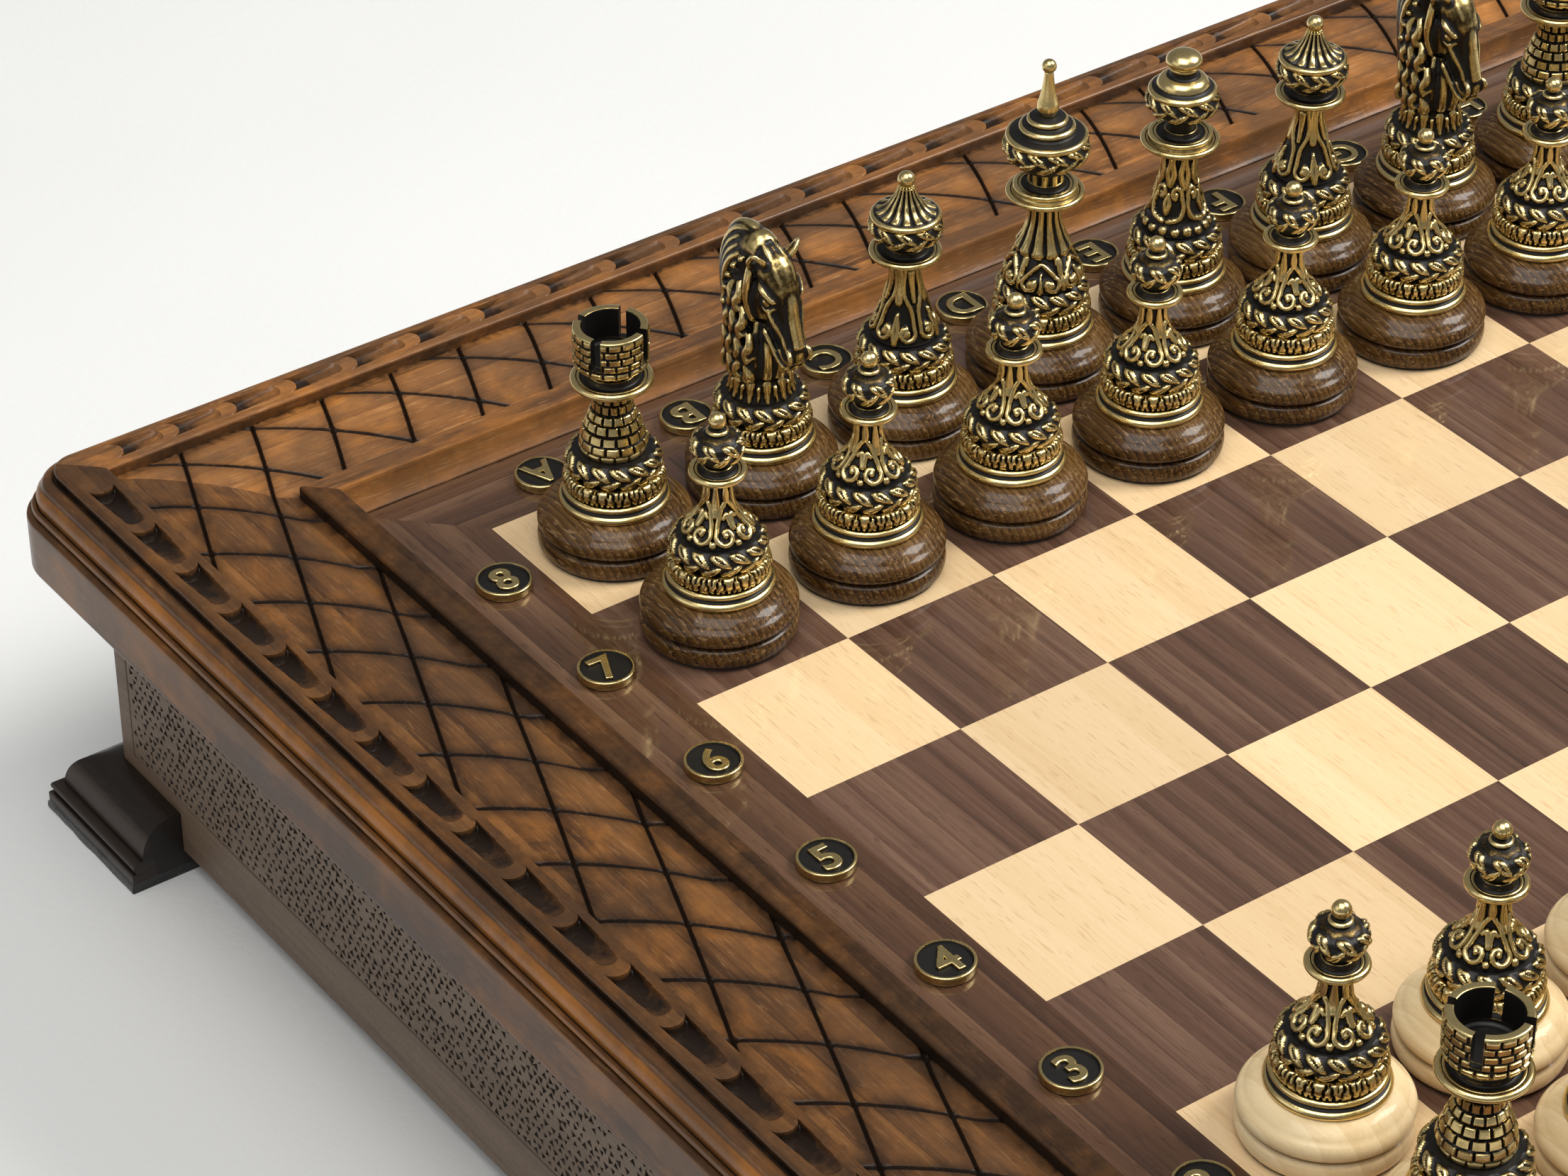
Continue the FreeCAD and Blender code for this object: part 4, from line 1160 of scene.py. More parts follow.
def black_felt():
    """Felt with a clumped, fuzzy face."""
    graph = Graph("black_felt")
    fuzz = graph.noise(graph.place, 1400.0, 5.0, 0.7)
    clumps = graph.noise(graph.place, 300.0, 3.0, 0.6)
    colour = graph.ramp(fuzz, (0.35, (0.004, 0.004, 0.004)), (0.7, (0.022, 0.020, 0.019)))
    height = graph.sum("MULTIPLY_ADD", clumps, 0.8, fuzz)
    graph.set(
        Base_Color=colour,
        Roughness=0.95,
        Sheen_Weight=0.35,
        Sheen_Roughness=0.5,
        Normal=graph.bump(height, 0.0005, 0.8),
    )
    return graph.material


def screw_steel():
    """Steel with fine marks round the screw."""
    graph = Graph("screw_steel")
    marks = graph.noise(graph.stretched((1, 1, 6)), 900.0, 3.0)
    colour = graph.ramp(marks, (0.3, (0.42, 0.42, 0.43)), (0.7, (0.62, 0.61, 0.59)))
    dull = graph.ramp(marks, (0.3, 0.25), (0.7, 0.45))
    graph.set(Base_Color=colour, Metallic=1.0, Roughness=dull, Normal=graph.bump(marks, 0.00005, 0.4))
    return graph.material


def floor_paper():
    """Plain pale paper with a faint tooth."""
    graph = Graph("floor_paper")
    tooth = graph.noise(graph.place, 420.0, 4.0, 0.6)
    clouds = graph.noise(graph.place, 4.0, 2.0, 0.5)
    colour = graph.ramp(clouds, (0.3, (0.745, 0.745, 0.725)), (0.7, (0.775, 0.775, 0.755)))
    graph.set(Base_Color=colour, Roughness=0.75, Normal=graph.bump(tooth, 0.0004, 0.35))
    return graph.material


# ---------------------------------------------------------------- swept sides of the board
SIDES = ("a_side", "rank_1_side", "h_side", "rank_8_side")
# Plan matrices that carry the -X side to each side of the board.
PLANS = {
    "a_side": ((1, 0), (0, 1)),
    "h_side": ((-1, 0), (0, 1)),
    "rank_8_side": ((0, -1), (-1, 0)),
    "rank_1_side": ((0, -1), (1, 0)),
}


def to_side(points, side):
    """Points of the -X side, with heights from the playing surface, carried to a side."""
    (a, b), (c, d) = PLANS[side]
    x, y, z = np.asarray(points).reshape(-1, 3).T
    return np.stack([a * x + b * y, c * x + d * y, z + PLAY_Z], 1)


def corner_round(offset):
    """Radius of the outer corner of a line that runs round the frame at an offset."""
    return max(0.0, CORNER_RADIUS - (RAIL_OUTER - offset))


def swept(profile, along, depth=None, end_steps=3, arc_steps=7):
    """Points of a bar along the -X side, from mitre to mitre, with rounded outer corners.
    profile holds (offset, height, tone) rows and along the places of the cross sections. depth,
    if it is given, holds each row's own places, how far it drops and how much its tone rises."""
    reach = along[-1]
    still = np.zeros(len(along))
    rows, tones = [], []
    for index, (offset, level, tone) in enumerate(profile):
        radius = corner_round(offset)
        end = HALF_FIELD + offset - radius
        warp, drop, shade = (along, still, still) if depth is None else (part[index] for part in depth)
        x = list(np.full(len(along), -(HALF_FIELD + offset)))
        y = list(warp)
        z = list(level - drop)
        t = list(tone + shade)
        for sign in (1, -1):
            ex, ey = [], []
            for part in np.arange(1, end_steps + 1) / end_steps:
                ex.append(-(HALF_FIELD + offset))
                ey.append(sign * (reach + (end - reach) * part))
            for angle in np.radians(np.linspace(0, 45, arc_steps + 1)[1:]):
                ex.append(-(HALF_FIELD + offset) + radius * (1 - math.cos(angle)))
                ey.append(sign * (end + radius * math.sin(angle)))
            if sign == 1:
                x, y, z, t = x + ex, y + ey, z + [level] * len(ex), t + [tone] * len(ex)
            else:
                x, y = ex[::-1] + x, ey[::-1] + y
                z, t = [level] * len(ex) + z, [tone] * len(ex) + t
        rows.append(np.stack([x, y, z], 1))
        tones.append(t)
    return np.array(rows), np.array(tones)


def add_bar(shell, rows, tones, side):
    """Closes a swept bar round its section and at its mitred ends."""
    shell.add(to_side(rows, side), bar_faces(*rows.shape[:2]), tones.reshape(-1))


def section(entries, step):
    """Rows (offset, height, tone) of a moulding's section, from the same kind of entries as
    path(), with the bulge to the left of the way it runs."""
    flipped = [(r, z, -bulge, tone) for r, z, bulge, tone in entries]
    return path(flipped, step)


FLUTE_HALF = 3.35
FLUTE_NOSE = 2.9
FLUTE_GAP = 1.7
FLUTE_PITCH = 21.0


def flute_places(side):
    """Where the deep end of each flute stands and how long it is, from the a8 corner down."""
    if side in ("a_side", "h_side"):
        return [(243.6 - FLUTE_PITCH * k, FLUTE_PITCH - FLUTE_GAP) for k in range(23)]
    places, here = [], 245.7
    while here > -236.0:
        pitch = FLUTE_PITCH - 4.7 * max(0.0, 1 - len(places) / 6)
        places.append((here, pitch - FLUTE_GAP))
        here -= pitch
    return places


def fluted_strip(shell, side):
    """The strip round the frame, with a row of thumbnail flutes that dive under a rounded nose."""
    middle = (STRIP_INNER + STRIP_OUTER) / 2
    low = 3.6
    # The strip's tone is darker on the a and h sides, painted shade; trough is how much of a flute's
    # painted shade stays towards its shallow end.
    ground, trough = (0.26, 0.6) if side in ("a_side", "h_side") else (0.08, 0.4)
    # The feet of the strip's inner and outer walls are darkened as painted shade.
    top = [
        (STRIP_INNER + 0.15, low, 0, 0.8), (STRIP_INNER + 0.05, STRIP_TOP - 0.9, 0, 0.4),
        (STRIP_INNER + 0.9, STRIP_TOP - 0.05, 0.25, ground),
    ]
    half_lanes = [0.4, 1.0, 1.5, 1.9, 2.25, 2.6, 2.9, 3.15, 3.3, 3.42, 3.8, 4.2, 4.6]
    lanes = [-lane for lane in reversed(half_lanes)] + half_lanes
    rows = list(section(top, 0.5))
    rows += [(middle + lane, STRIP_TOP - 0.02 * (lane + 4.6), ground) for lane in lanes]
    outer = [
        (STRIP_OUTER - 1.0, STRIP_TOP - 0.25, 0, ground),
        (STRIP_OUTER - 0.05, STRIP_TOP - 1.2, 0.3, ground), (STRIP_OUTER - 0.3, low, 0, 0.75),
    ]
    rows = np.array(rows + list(section(outer, 0.5)))
    shares = [-0.09, -0.03, 0.0, 0.02, 0.06, 0.13, 0.25, 0.38, 0.52, 0.66, 0.78, 0.88, 0.94, 0.98, 1.0]
    deep = [0.0, -0.30, -0.15, 2.0, 2.7, 2.7, 2.45, 2.15, 1.85, 1.6, 1.35, 1.1, 0.85, 0.45, 0.0]
    lane = np.clip(rows[:, 0] - middle, -FLUTE_HALF, FLUTE_HALF)
    inside = np.abs(rows[:, 0] - middle) < FLUTE_HALF + 1e-6
    bow = np.sqrt(np.clip(1 - (lane / FLUTE_HALF) ** 2, 0, 1))
    warps, drops, shades = [], [], []
    for place, length in reversed(flute_places(side)):
        head = FLUTE_NOSE * bow
        tail = length - FLUTE_HALF * 0.9 * (1 - bow)
        for share, depth in zip(reversed(shares), reversed(deep)):
            warps.append(place - (head + share * (tail - head)))
            half = FLUTE_HALF * (1 - 0.34 * max(share, 0.0) ** 1.4)
            hollow = np.sqrt(np.clip(1 - (lane / half) ** 2, 0, 1)) if depth > 0 else bow
            drop = np.where(inside, depth * hollow**0.6, 0.0)
            drops.append(drop)
            # Each flute is darkened as painted shade, darkest under the nose at its deep end.
            fade = trough + (1 - trough) * (1 - smoothstep(0.1, 0.5, share))
            shades.append(np.clip(drop / 2.2, 0, 0.85) * fade)
    depth = (np.array(warps).T, np.array(drops).T, np.array(shades).T)
    points, tones = swept(rows, depth[0][0], depth)
    add_bar(shell, points, tones, side)


def rail_body(shell, side):
    """The frame's moulded body: bead, fillet, cove and fascia outside, and a bed for the rest."""
    # Tones darken the creases beside the bead and the torus, the bed under the strip and the joint
    # beside it, as painted shade; a tone below nothing puts an orange glow on the bead and torus, worn
    # wood together with painted highlight.
    entries = [
        (LEDGE_OUTER, RAIL_BOTTOM, 0, 0.0), (LEDGE_OUTER, 0.4, 0, 0.6),
        (STRIP_INNER + 0.6, 1.4, 0, 0.8), (STRIP_INNER + 0.8, 4.2, 0, 0.8),
        (STRIP_OUTER - 0.2, 4.3, 0, 0.8), (STRIP_OUTER + 0.1, 4.2, 0, 0.85),
        (STRIP_OUTER + 0.9, 5.0, 0, 0.3), (85.6, 2.9, 0.75, 0.06), (86.9, -1.9, 0.75, -0.55),
        (87.0, -2.6, 0, 0.85), (88.3, -2.2, 0.2, 0.1), (88.5, -3.6, 0.15, -0.3),
        (87.7, -4.6, -0.2, 0.85), (89.5, -4.9, 0.1, 0.3), (RAIL_OUTER, -5.6, 0.15, 0.1),
        (RAIL_OUTER, RAIL_BOTTOM + 0.9, 0, 0.12), (RAIL_OUTER - 0.9, RAIL_BOTTOM, 0.25, 0.2),
    ]
    rows = section(entries, 0.55)
    along = np.linspace(-235.0, 235.0, 30)
    points, tones = swept(rows, along, end_steps=4)
    add_bar(shell, points, tones, side)


# A crossing of the cuts on the carved band, and the step from it to the next along each set.
LATTICE_ORIGIN = np.array([-244.65, 154.05])
LATTICE_STEEP = np.array([7.113, 18.797])
LATTICE_FLAT = np.array([15.735, -14.013])


def carved_level(offset):
    """Height of the crowned band, with a small lift beside the ledge."""
    share = np.clip((offset - LEDGE_OUTER) / (STRIP_INNER - LEDGE_OUTER), 0, 1)
    slope = CARVED_INNER_Z + (CARVED_OUTER_Z - CARVED_INNER_Z) * share
    crown = slope + 4 * CARVED_CROWN * share * (1 - share)
    return crown + 1.4 * (1 - smoothstep(0, 4, offset - LEDGE_OUTER))


def carved_lattice(shell, side):
    """The crowned band with two sets of parallel cuts that run on across the mitres, and a
    pressed dot where they cross. Its mesh follows the cuts."""
    inner, outer = HALF_FIELD + LEDGE_OUTER - 0.1, HALF_FIELD + STRIP_INNER + 0.3
    to_lattice = np.linalg.inv(np.stack([LATTICE_STEEP, LATTICE_FLAT], 1))
    corners = np.array([(-outer, outer), (-outer, -outer), (-inner, inner), (-inner, -inner)])
    corners = to_side(np.column_stack([corners, np.zeros(4)]), side)[:, :2]
    spans = (to_lattice @ (corners - LATTICE_ORIGIN).T).T
    low, high = np.floor(spans.min(0)).astype(int), np.ceil(spans.max(0)).astype(int)
    fine = np.array([0, 0.008, 0.018, 0.030, 0.048, 0.085, 0.15, 0.24, 0.36])
    cell = np.concatenate([fine, [0.5], 1 - fine[:0:-1]])
    lines = [np.concatenate([k + cell for k in range(low[axis], high[axis])]) for axis in (0, 1)]
    cell_area = abs(np.linalg.det(np.stack([LATTICE_STEEP, LATTICE_FLAT])))
    steep_gap, flat_gap = (cell_area / np.linalg.norm(way) for way in (LATTICE_STEEP, LATTICE_FLAT))
    u, v = np.meshgrid(*lines, indexing="ij")
    plan = LATTICE_ORIGIN + u[..., None] * LATTICE_STEEP + v[..., None] * LATTICE_FLAT
    margin = 6.0
    local = plan @ np.linalg.inv(np.array(PLANS[side])).T
    offset = -local[..., 0] - HALF_FIELD
    keep = (
        (offset > LEDGE_OUTER - margin)
        & (offset < STRIP_INNER + margin)
        & (np.abs(local[..., 1]) < -local[..., 0] + margin)
    )
    from_flat = np.abs(u - np.round(u)) * flat_gap
    from_steep = np.abs(v - np.round(v)) * steep_gap
    nearest = np.minimum(from_flat, from_steep)
    crossing = np.hypot(from_flat, from_steep)
    cut = 0.95 * np.clip(1 - nearest / 0.62, 0, 1)
    dot = 0.75 * (1 - smoothstep(0.35, 1.25, crossing))
    pillow = 0.10 * smoothstep(0.0, 6.0, nearest)
    level = carved_level(offset) - cut - dot + pillow - 0.1
    # Cuts and pressed dots are darkened by staining together with painted shade. Wider halos round
    # crossings and cuts are painted shade, made stronger on the a and h sides, and so are the edges
    # beside the fluted strip and the ledge.
    stain_and_shade = 1.3 * (1 - smoothstep(0.3, 0.78, nearest)) + (1 - smoothstep(0.8, 1.45, crossing))
    stain_and_shade = np.clip(stain_and_shade, 0, 1)
    shadow = 1.55 if side in ("a_side", "h_side") else 1.0
    stain_and_shade = np.maximum(stain_and_shade, 0.30 * shadow * (1 - smoothstep(1.2, 6.0, crossing)))
    stain_and_shade = np.maximum(stain_and_shade, 0.26 * shadow * (1 - smoothstep(0.5, 4.4, nearest)))
    stain_and_shade = np.maximum(stain_and_shade, 0.75 * (1 - smoothstep(0.0, 1.1, STRIP_INNER - offset)))
    stain_and_shade = np.maximum(stain_and_shade, 0.65 * (1 - smoothstep(0.0, 0.9, offset - LEDGE_OUTER)))
    mesh = bmesh.new()
    layer = mesh.verts.layers.float.new("tone")
    made = {}
    for i, j in zip(*np.nonzero(keep)):
        vert = mesh.verts.new((local[i, j, 0], local[i, j, 1], level[i, j]))
        vert[layer] = stain_and_shade[i, j]
        made[i, j] = vert
    for (i, j) in list(made):
        quad = [(i, j), (i + 1, j), (i + 1, j + 1), (i, j + 1)]
        if all(q in made for q in quad):
            mesh.faces.new([made[q] for q in quad])
    planes = [
        ((-inner, 0, 0), (1, 0, 0)),
        ((-outer, 0, 0), (-1, 0, 0)),
        ((0, 0, 0), (1, 1, 0)),
        ((0, 0, 0), (1, -1, 0)),
    ]
    for centre, normal in planes:
        geometry = mesh.verts[:] + mesh.edges[:] + mesh.faces[:]
        bmesh.ops.bisect_plane(
            mesh, geom=geometry, dist=1e-5, plane_co=centre, plane_no=normal, clear_outer=True
        )
    loose = [vert for vert in mesh.verts if not vert.link_faces]
    bmesh.ops.delete(mesh, geom=loose, context="VERTS")
    rim = [edge for edge in mesh.edges if edge.is_boundary]
    grown = bmesh.ops.extrude_edge_only(mesh, edges=rim)["geom"]
    base = 0.5
    # The band's walls down to the base get a dark tone, painted shade between the band and its
    # neighbours.
    for vert in (g for g in grown if isinstance(g, bmesh.types.BMVert)):
        vert.co.z = base
        vert[layer] = 0.9
    low_rim = [g for g in grown if isinstance(g, bmesh.types.BMEdge) and g.is_boundary]
    bmesh.ops.holes_fill(mesh, edges=low_rim, sides=0)
    mesh.verts.index_update()
    points = np.array([vert.co[:] for vert in mesh.verts])
    tones = np.array([vert[layer] for vert in mesh.verts])
    faces = [tuple(vert.index for vert in face.verts) for face in mesh.faces]
    mesh.free()
    shell.add(to_side(points, side), faces, tones)


def frame_rail(side, material):
    """The moulded body with its fluted strip and its carved band."""
    shell = Shell()
    rail_body(shell, side)
    fluted_strip(shell, side)
    carved_lattice(shell, side)
    return make_piece(
        "frame_rail_visual_" + side, shell, material, "board",
        ["frame_rail_" + side], sharp=38, fix=True,
    )


def ledge_strip(side, material):
    """The raised strip round the playing panel, with a glossy hollow towards the squares."""
    # The top is darker on the a and h sides, painted shade, and there the hollow gets an orange glow,
    # worn wood together with painted highlight. The foot of the hollow and the outer wall are darkened
    # as painted shade.
    ground, cove = (0.42, -0.2) if side in ("a_side", "h_side") else (0.14, 0.12)
    entries = [
        (BORDER_WIDTH, -0.8, 0, 0.9), (BORDER_WIDTH + 0.05, 0.5, 0, 0.5), (27.2, 7.4, -0.75, cove),
        (27.9, 8.0, 0.2, ground), (34.0, 7.8, 0, ground), (LEDGE_OUTER - 0.15, 7.0, 0.25, ground),
        (LEDGE_OUTER, 0.6, 0, 0.9), (LEDGE_OUTER, -0.8, 0, 0.9),
    ]
    rows = section(entries, 0.5)
    points, tones = swept(rows, np.linspace(-200.0, 200.0, 24), end_steps=2, arc_steps=1)
    shell = Shell()
    add_bar(shell, points, tones, side)
    return make_piece(
        "ledge_visual_" + side, shell, material, "board",
        ["ledge_strip_" + side], sharp=38, fix=True,
    )


# ---------------------------------------------------------------- apron with a punched ground
PUNCH_SIZE = 1.24
PUNCH_PITCH = 2.85
PUNCH_DEPTH = 0.85
PUNCH_WALL = 0.3
SCRIBED_HALF = 0.35
SCRIBED_DEPTH = 0.45
APRON_THICK = 12.0


def punched_face(half, low, high, seed):
    """The plan of an apron's face, with (along, height) points, cut up into small three-sided
    pits strewn inside a scribed frame, and the frame's left, right, bottom and top."""
    random = np.random.default_rng(seed)
    left, right = -half + 6.0, half - 6.0
    bottom, top = low + 16.5, high - 5.0
    points, edges, faces = [], [], []

    def loop(corners, as_face=False):
        first = len(points)
        points.extend(corners)
        number = len(corners)
        edges.extend((first + k, first + (k + 1) % number) for k in range(number))
        if as_face:
            faces.append(list(range(first, first + number)))

    def box(grow):
        return [
            (left - grow, bottom - grow), (right + grow, bottom - grow),
            (right + grow, top + grow), (left - grow, top + grow),
        ]

    loop([(-half, low), (half, low), (half, high), (-half, high)])
    for grow in (SCRIBED_HALF, 0.0, -SCRIBED_HALF):
        loop(box(grow))
    rows = int((top - bottom - 2.0) / (PUNCH_PITCH * 0.87))
    columns = int((right - left - 2.0) / PUNCH_PITCH)
    for row in range(rows):
        for column in range(columns):
            shift = 0.5 * (row % 2)
            x = left + 1.6 + (column + shift) * PUNCH_PITCH + random.uniform(-0.55, 0.55)
            y = bottom + 1.8 + row * PUNCH_PITCH * 0.87 + random.uniform(-0.45, 0.45)
            size = PUNCH_SIZE * random.uniform(0.7, 1.2)
            turn = random.uniform(0, TAU)
            if random.uniform() < 0.06 or x > right - 1.6:
                continue
            angles = [turn + k * TAU / 3 for k in range(3)]
            loop([(x + size * math.cos(a), y + size * math.sin(a)) for a in angles], True)
    vectors = [Vector(p) for p in points]
    return delaunay_2d_cdt(vectors, edges, faces, 1, 1e-4), (left, right, bottom, top)


def apron_panel(side, material, seed):
    """A panel with mitred ends, its scribed lines sunk and its pits cut into its face."""
    half = HALF_FIELD + APRON_OUTER
    result, (left, right, bottom, top) = punched_face(half, APRON_BOTTOM, RAIL_BOTTOM, seed)
    verts, _, faces, _, _, owners = result
    plan = np.array([v[:] for v in verts])
    offset = np.full(len(plan), APRON_OUTER)
    tone = np.zeros(len(plan))
    x, y = plan.T
    near = 1e-3
    on_upright = (np.abs(x - left) < near) | (np.abs(x - right) < near)
    on_level = (np.abs(y - bottom) < near) | (np.abs(y - top) < near)
    on_line = on_upright & (y > bottom - near) & (y < top + near)
    on_line |= on_level & (x > left - near) & (x < right + near)
    # Scribed lines are sunk and given a dark tone, painted shade.
    offset[on_line] -= SCRIBED_DEPTH
    tone[on_line] = 0.9
    points = [(-(HALF_FIELD + o), a, z) for (a, z), o in zip(plan, offset)]
    tones = list(tone)
    made = []
    for face, owner in zip(faces, owners):
        if len(owner) == 0 or len(face) != 3:
            made.append(tuple(face))
            continue
        centre = plan[list(face)].mean(0)
        apex = len(points)
        points.append((-(HALF_FIELD + APRON_OUTER - PUNCH_DEPTH), centre[0], centre[1]))
        for corner in plan[list(face)]:
            wall = centre + 0.84 * (corner - centre)
            points.append((-(HALF_FIELD + APRON_OUTER - PUNCH_WALL), wall[0], wall[1]))
        # Each pit, with its own rim, gets a full dark tone, painted shade.
        tones += [1.0] * 4
        for k in range(3):
            n = (k + 1) % 3
            made.append((face[k], face[n], apex + 1 + n, apex + 1 + k))
            made.append((apex + 1 + k, apex + 1 + n, apex))
    start = len(points)
    back = HALF_FIELD + APRON_OUTER - APRON_THICK
    corners = [(-half, APRON_BOTTOM), (half, APRON_BOTTOM), (half, RAIL_BOTTOM), (-half, RAIL_BOTTOM)]
    front = [int(np.argmin(np.hypot(*(plan - corner).T))) for corner in corners]
    for along, level in corners:
        points.append((-back, math.copysign(back, along), level))
        tones.append(0.0)
    for k in range(4):
        n = (k + 1) % 4
        made.append((front[n], front[k], start + k, start + n))
    made.append((start + 3, start + 2, start + 1, start))
    shell = Shell()
    shell.add(to_side(points, side), made, np.array(tones))
    return make_piece(
        "apron_visual_" + side, shell, material, "board",
        ["apron_panel_" + side], smooth=False, fix=True,
    )


# ---------------------------------------------------------------- feet
def corner_sweep(shell, rows, signs, ripple_size=0.0, seed=0):
    """Sweeps a closed section round one corner of the board, from one cut end to the other."""
    reach = np.linspace(0, 1, 12)
    points = []
    for offset, level, _ in rows:
        far = HALF_FIELD + offset
        arm = [(-far, FOOT_CUT + (far - FOOT_CUT) * part) for part in reach]
        other = [(-(FOOT_CUT + (far - FOOT_CUT) * part), far) for part in reach[::-1][1:]]
        points.append([(x * signs[0], y * signs[1], level) for x, y in arm + other])
    points = np.array(points)
    if ripple_size:
        flat = points.reshape(-1, 3)
        push = ripple(flat, 0.9, seed)[:, None] * ripple_size
        away = flat - flat.mean(0)
        away[:, 2] = 0
        away /= np.linalg.norm(away, axis=1)[:, None] + 1e-9
        points = (flat + away * push).reshape(points.shape)
    tones = np.repeat(np.array(rows)[:, 2], points.shape[1])
    shell.add(points.reshape(-1, 3) + (0, 0, PLAY_Z), bar_faces(*points.shape[:2]), tones)


# Signs that carry the corner at -X, +Y to each corner of the board.
CORNERS = {"a8": (1, 1), "a1": (1, -1), "h1": (-1, -1), "h8": (-1, 1)}


def corner_foot(corner, material):
    """An L-shaped foot with an ogee, a step, a quarter round and a plinth."""
    bottom = FELT_FOOT - PLAY_Z
    # Tones darken the joint with the apron and the creases above the step and under the quarter round,
    # as painted shade.
    entries = [
        (FOOT_INNER, bottom, 0, 0.3), (FOOT_INNER, APRON_BOTTOM, 0, 0.3),
        (APRON_OUTER, APRON_BOTTOM, 0, 0.3), (APRON_OUTER + 0.1, FOOT_TOP - 0.4, 0, 0.6),
        (APRON_OUTER + 0.9, FOOT_TOP, 0.15, 0.0), (FOOT_OUTER - 3.4, bottom + 7.4, 3.3, 0.0),
        (FOOT_OUTER - 3.3, bottom + 6.6, 0, 0.9), (FOOT_OUTER - 1.9, bottom + 6.6, 0, 0.2),
        (FOOT_OUTER - 1.3, bottom + 3.2, 1.1, 0.0), (FOOT_OUTER - 1.2, bottom + 2.9, 0, 0.9),
        (FOOT_OUTER - 0.3, bottom + 2.9, 0, 0.1), (FOOT_OUTER, bottom + 2.5, 0.1, 0.0),
        (FOOT_OUTER, bottom, 0, 0.0),
    ]
    shell = Shell()
    corner_sweep(shell, section(entries, 0.6), CORNERS[corner])
    return make_piece(
        "foot_visual_" + corner, shell, material, "board",
        ["corner_foot_" + corner], sharp=40, fix=True,
    )


def foot_felts(material):
    """Thick felts with slightly uneven edges under the four feet."""
    shell = Shell()
    unevenness = 0.28
    low, high = -PLAY_Z, FELT_FOOT - PLAY_Z
    for number, signs in enumerate(CORNERS.values()):
        entries = [
            (FOOT_INNER, low, 0, 0.0), (FOOT_INNER, high, 0, 0.0), (FOOT_OUTER - 0.2, high, 0, 0.0),
            (FOOT_OUTER + 0.3, low + 1.6, 0.25, 0.0), (FOOT_OUTER + 0.1, low, 0.2, 0.0),
        ]
        corner_sweep(shell, section(entries, 0.6), signs, unevenness, SEED + number)
    return make_piece(
        "foot_felt_visual", shell, material, "board", ["foot_felts"], sharp=60, fix=True
    )


# ---------------------------------------------------------------- medallions
MEDALLION_RADIUS = 7.2
MEDALLION_GROUND = 1.65
MEDALLION_TOP = 2.46
MEDALLION_LINE = HALF_FIELD + 11.0
LETTER_HEIGHT = 9.3
LETTER_WIDTH = 8.4


def character(text):
    """A raised, round-edged character as (points, faces), standing on the origin's level."""
    font = bpy.data.curves.new("letter", "FONT")
    font.body = text
    font.size = 10.4
    font.align_x = "CENTER"
    font.align_y = "CENTER"
    font.offset = -0.02
    font.extrude = 0.22
    font.bevel_depth = 0.34
    font.bevel_resolution = 2
    font.resolution_u = 5
    holder = placed("letter", font)
    graph = bpy.context.evaluated_depsgraph_get()
    graph.update()
    mesh = bpy.data.meshes.new_from_object(holder.evaluated_get(graph))
    points = np.array([v.co[:] for v in mesh.vertices])
    faces = [tuple(p.vertices) for p in mesh.polygons]
    middle = (points.min(0) + points.max(0)) / 2
    points[:, :2] -= middle[:2]
    size = points.max(0) - points.min(0)
    points[:, 1] *= LETTER_HEIGHT / size[1]
    points[:, 0] *= min(LETTER_HEIGHT / size[1], LETTER_WIDTH / size[0])
    bpy.data.objects.remove(holder)
    bpy.data.curves.remove(font)
    bpy.data.meshes.remove(mesh)
    return points, faces


def medallion(text):
    """A raised disc with a polished rim and a character on its dark ground."""
    shell = Shell()
    disc = [
        (0.5, 0.05, 0, DARK), (MEDALLION_RADIUS - 0.4, 0.0, 0, 0.4),
        (MEDALLION_RADIUS, 0.5, 0.1, WORN), (MEDALLION_RADIUS, 2.0, 0, WORN),
        (MEDALLION_RADIUS - 0.35, 2.45, 0.1, POLISHED), (MEDALLION_RADIUS - 0.75, 2.4, 0, POLISHED),
        (MEDALLION_RADIUS - 1.1, 1.75, 0, DARK), (0.5, MEDALLION_GROUND, 0, DARK),
    ]
    lathe(shell, path(disc, 0.3), 72, gain=0.0)
    points, faces = character(text)
    tone = np.where(points[:, 2] > 0.1, POLISHED, 0.25)
    points[:, 2] = np.minimum(points[:, 2] + (MEDALLION_GROUND + 0.25), MEDALLION_TOP)
    shell.add(points, faces, tone)
    return shell


def medallions(name, texts, along_files, material):
    """Medallions on two opposite sides of the border, each upright as seen from its own side."""
    gathered = Shell()
    for index, text in enumerate(texts):
        one = medallion(text)
        along = (index + 0.5) * SQUARE - HALF_FIELD
        for side in (-1, 1):
            line = side * MEDALLION_LINE
            place = (along, line, PLAY_Z) if along_files else (line, along, PLAY_Z)
            gathered.add_shell(one, math.pi if side == 1 else 0.0, place)
    return make_piece(name + "_visual", gathered, material, "board", [name], sharp=50)


# ---------------------------------------------------------------- chess pieces
def wooden_base():
    shell = Shell()
    # Tones darken the groove between the two rounds, the top under the figure and the underside on the
    # felt, as painted shade.
    outline = [
        (0.5, 0.9, 0, 0.0), (18.6, 0.9, 0, 0.3), (19.3, 1.5, 0.15, 0.0), (19.3, 5.3, 0.35, 0.0),
        (18.5, 5.9, 0.1, 0.35), (18.1, 6.2, 0, 0.9), (18.5, 6.7, 0, 0.4), (19.6, 8.4, 0.35, 0.0),
        (17.9, 11.2, 0.45, 0.0), (13.9, 13.8, 0.45, 0.0), (0.5, 13.8, 0, 0.3),
    ]
    lathe(shell, path(outline, 0.6), 104, gain=0.0)
    return shell


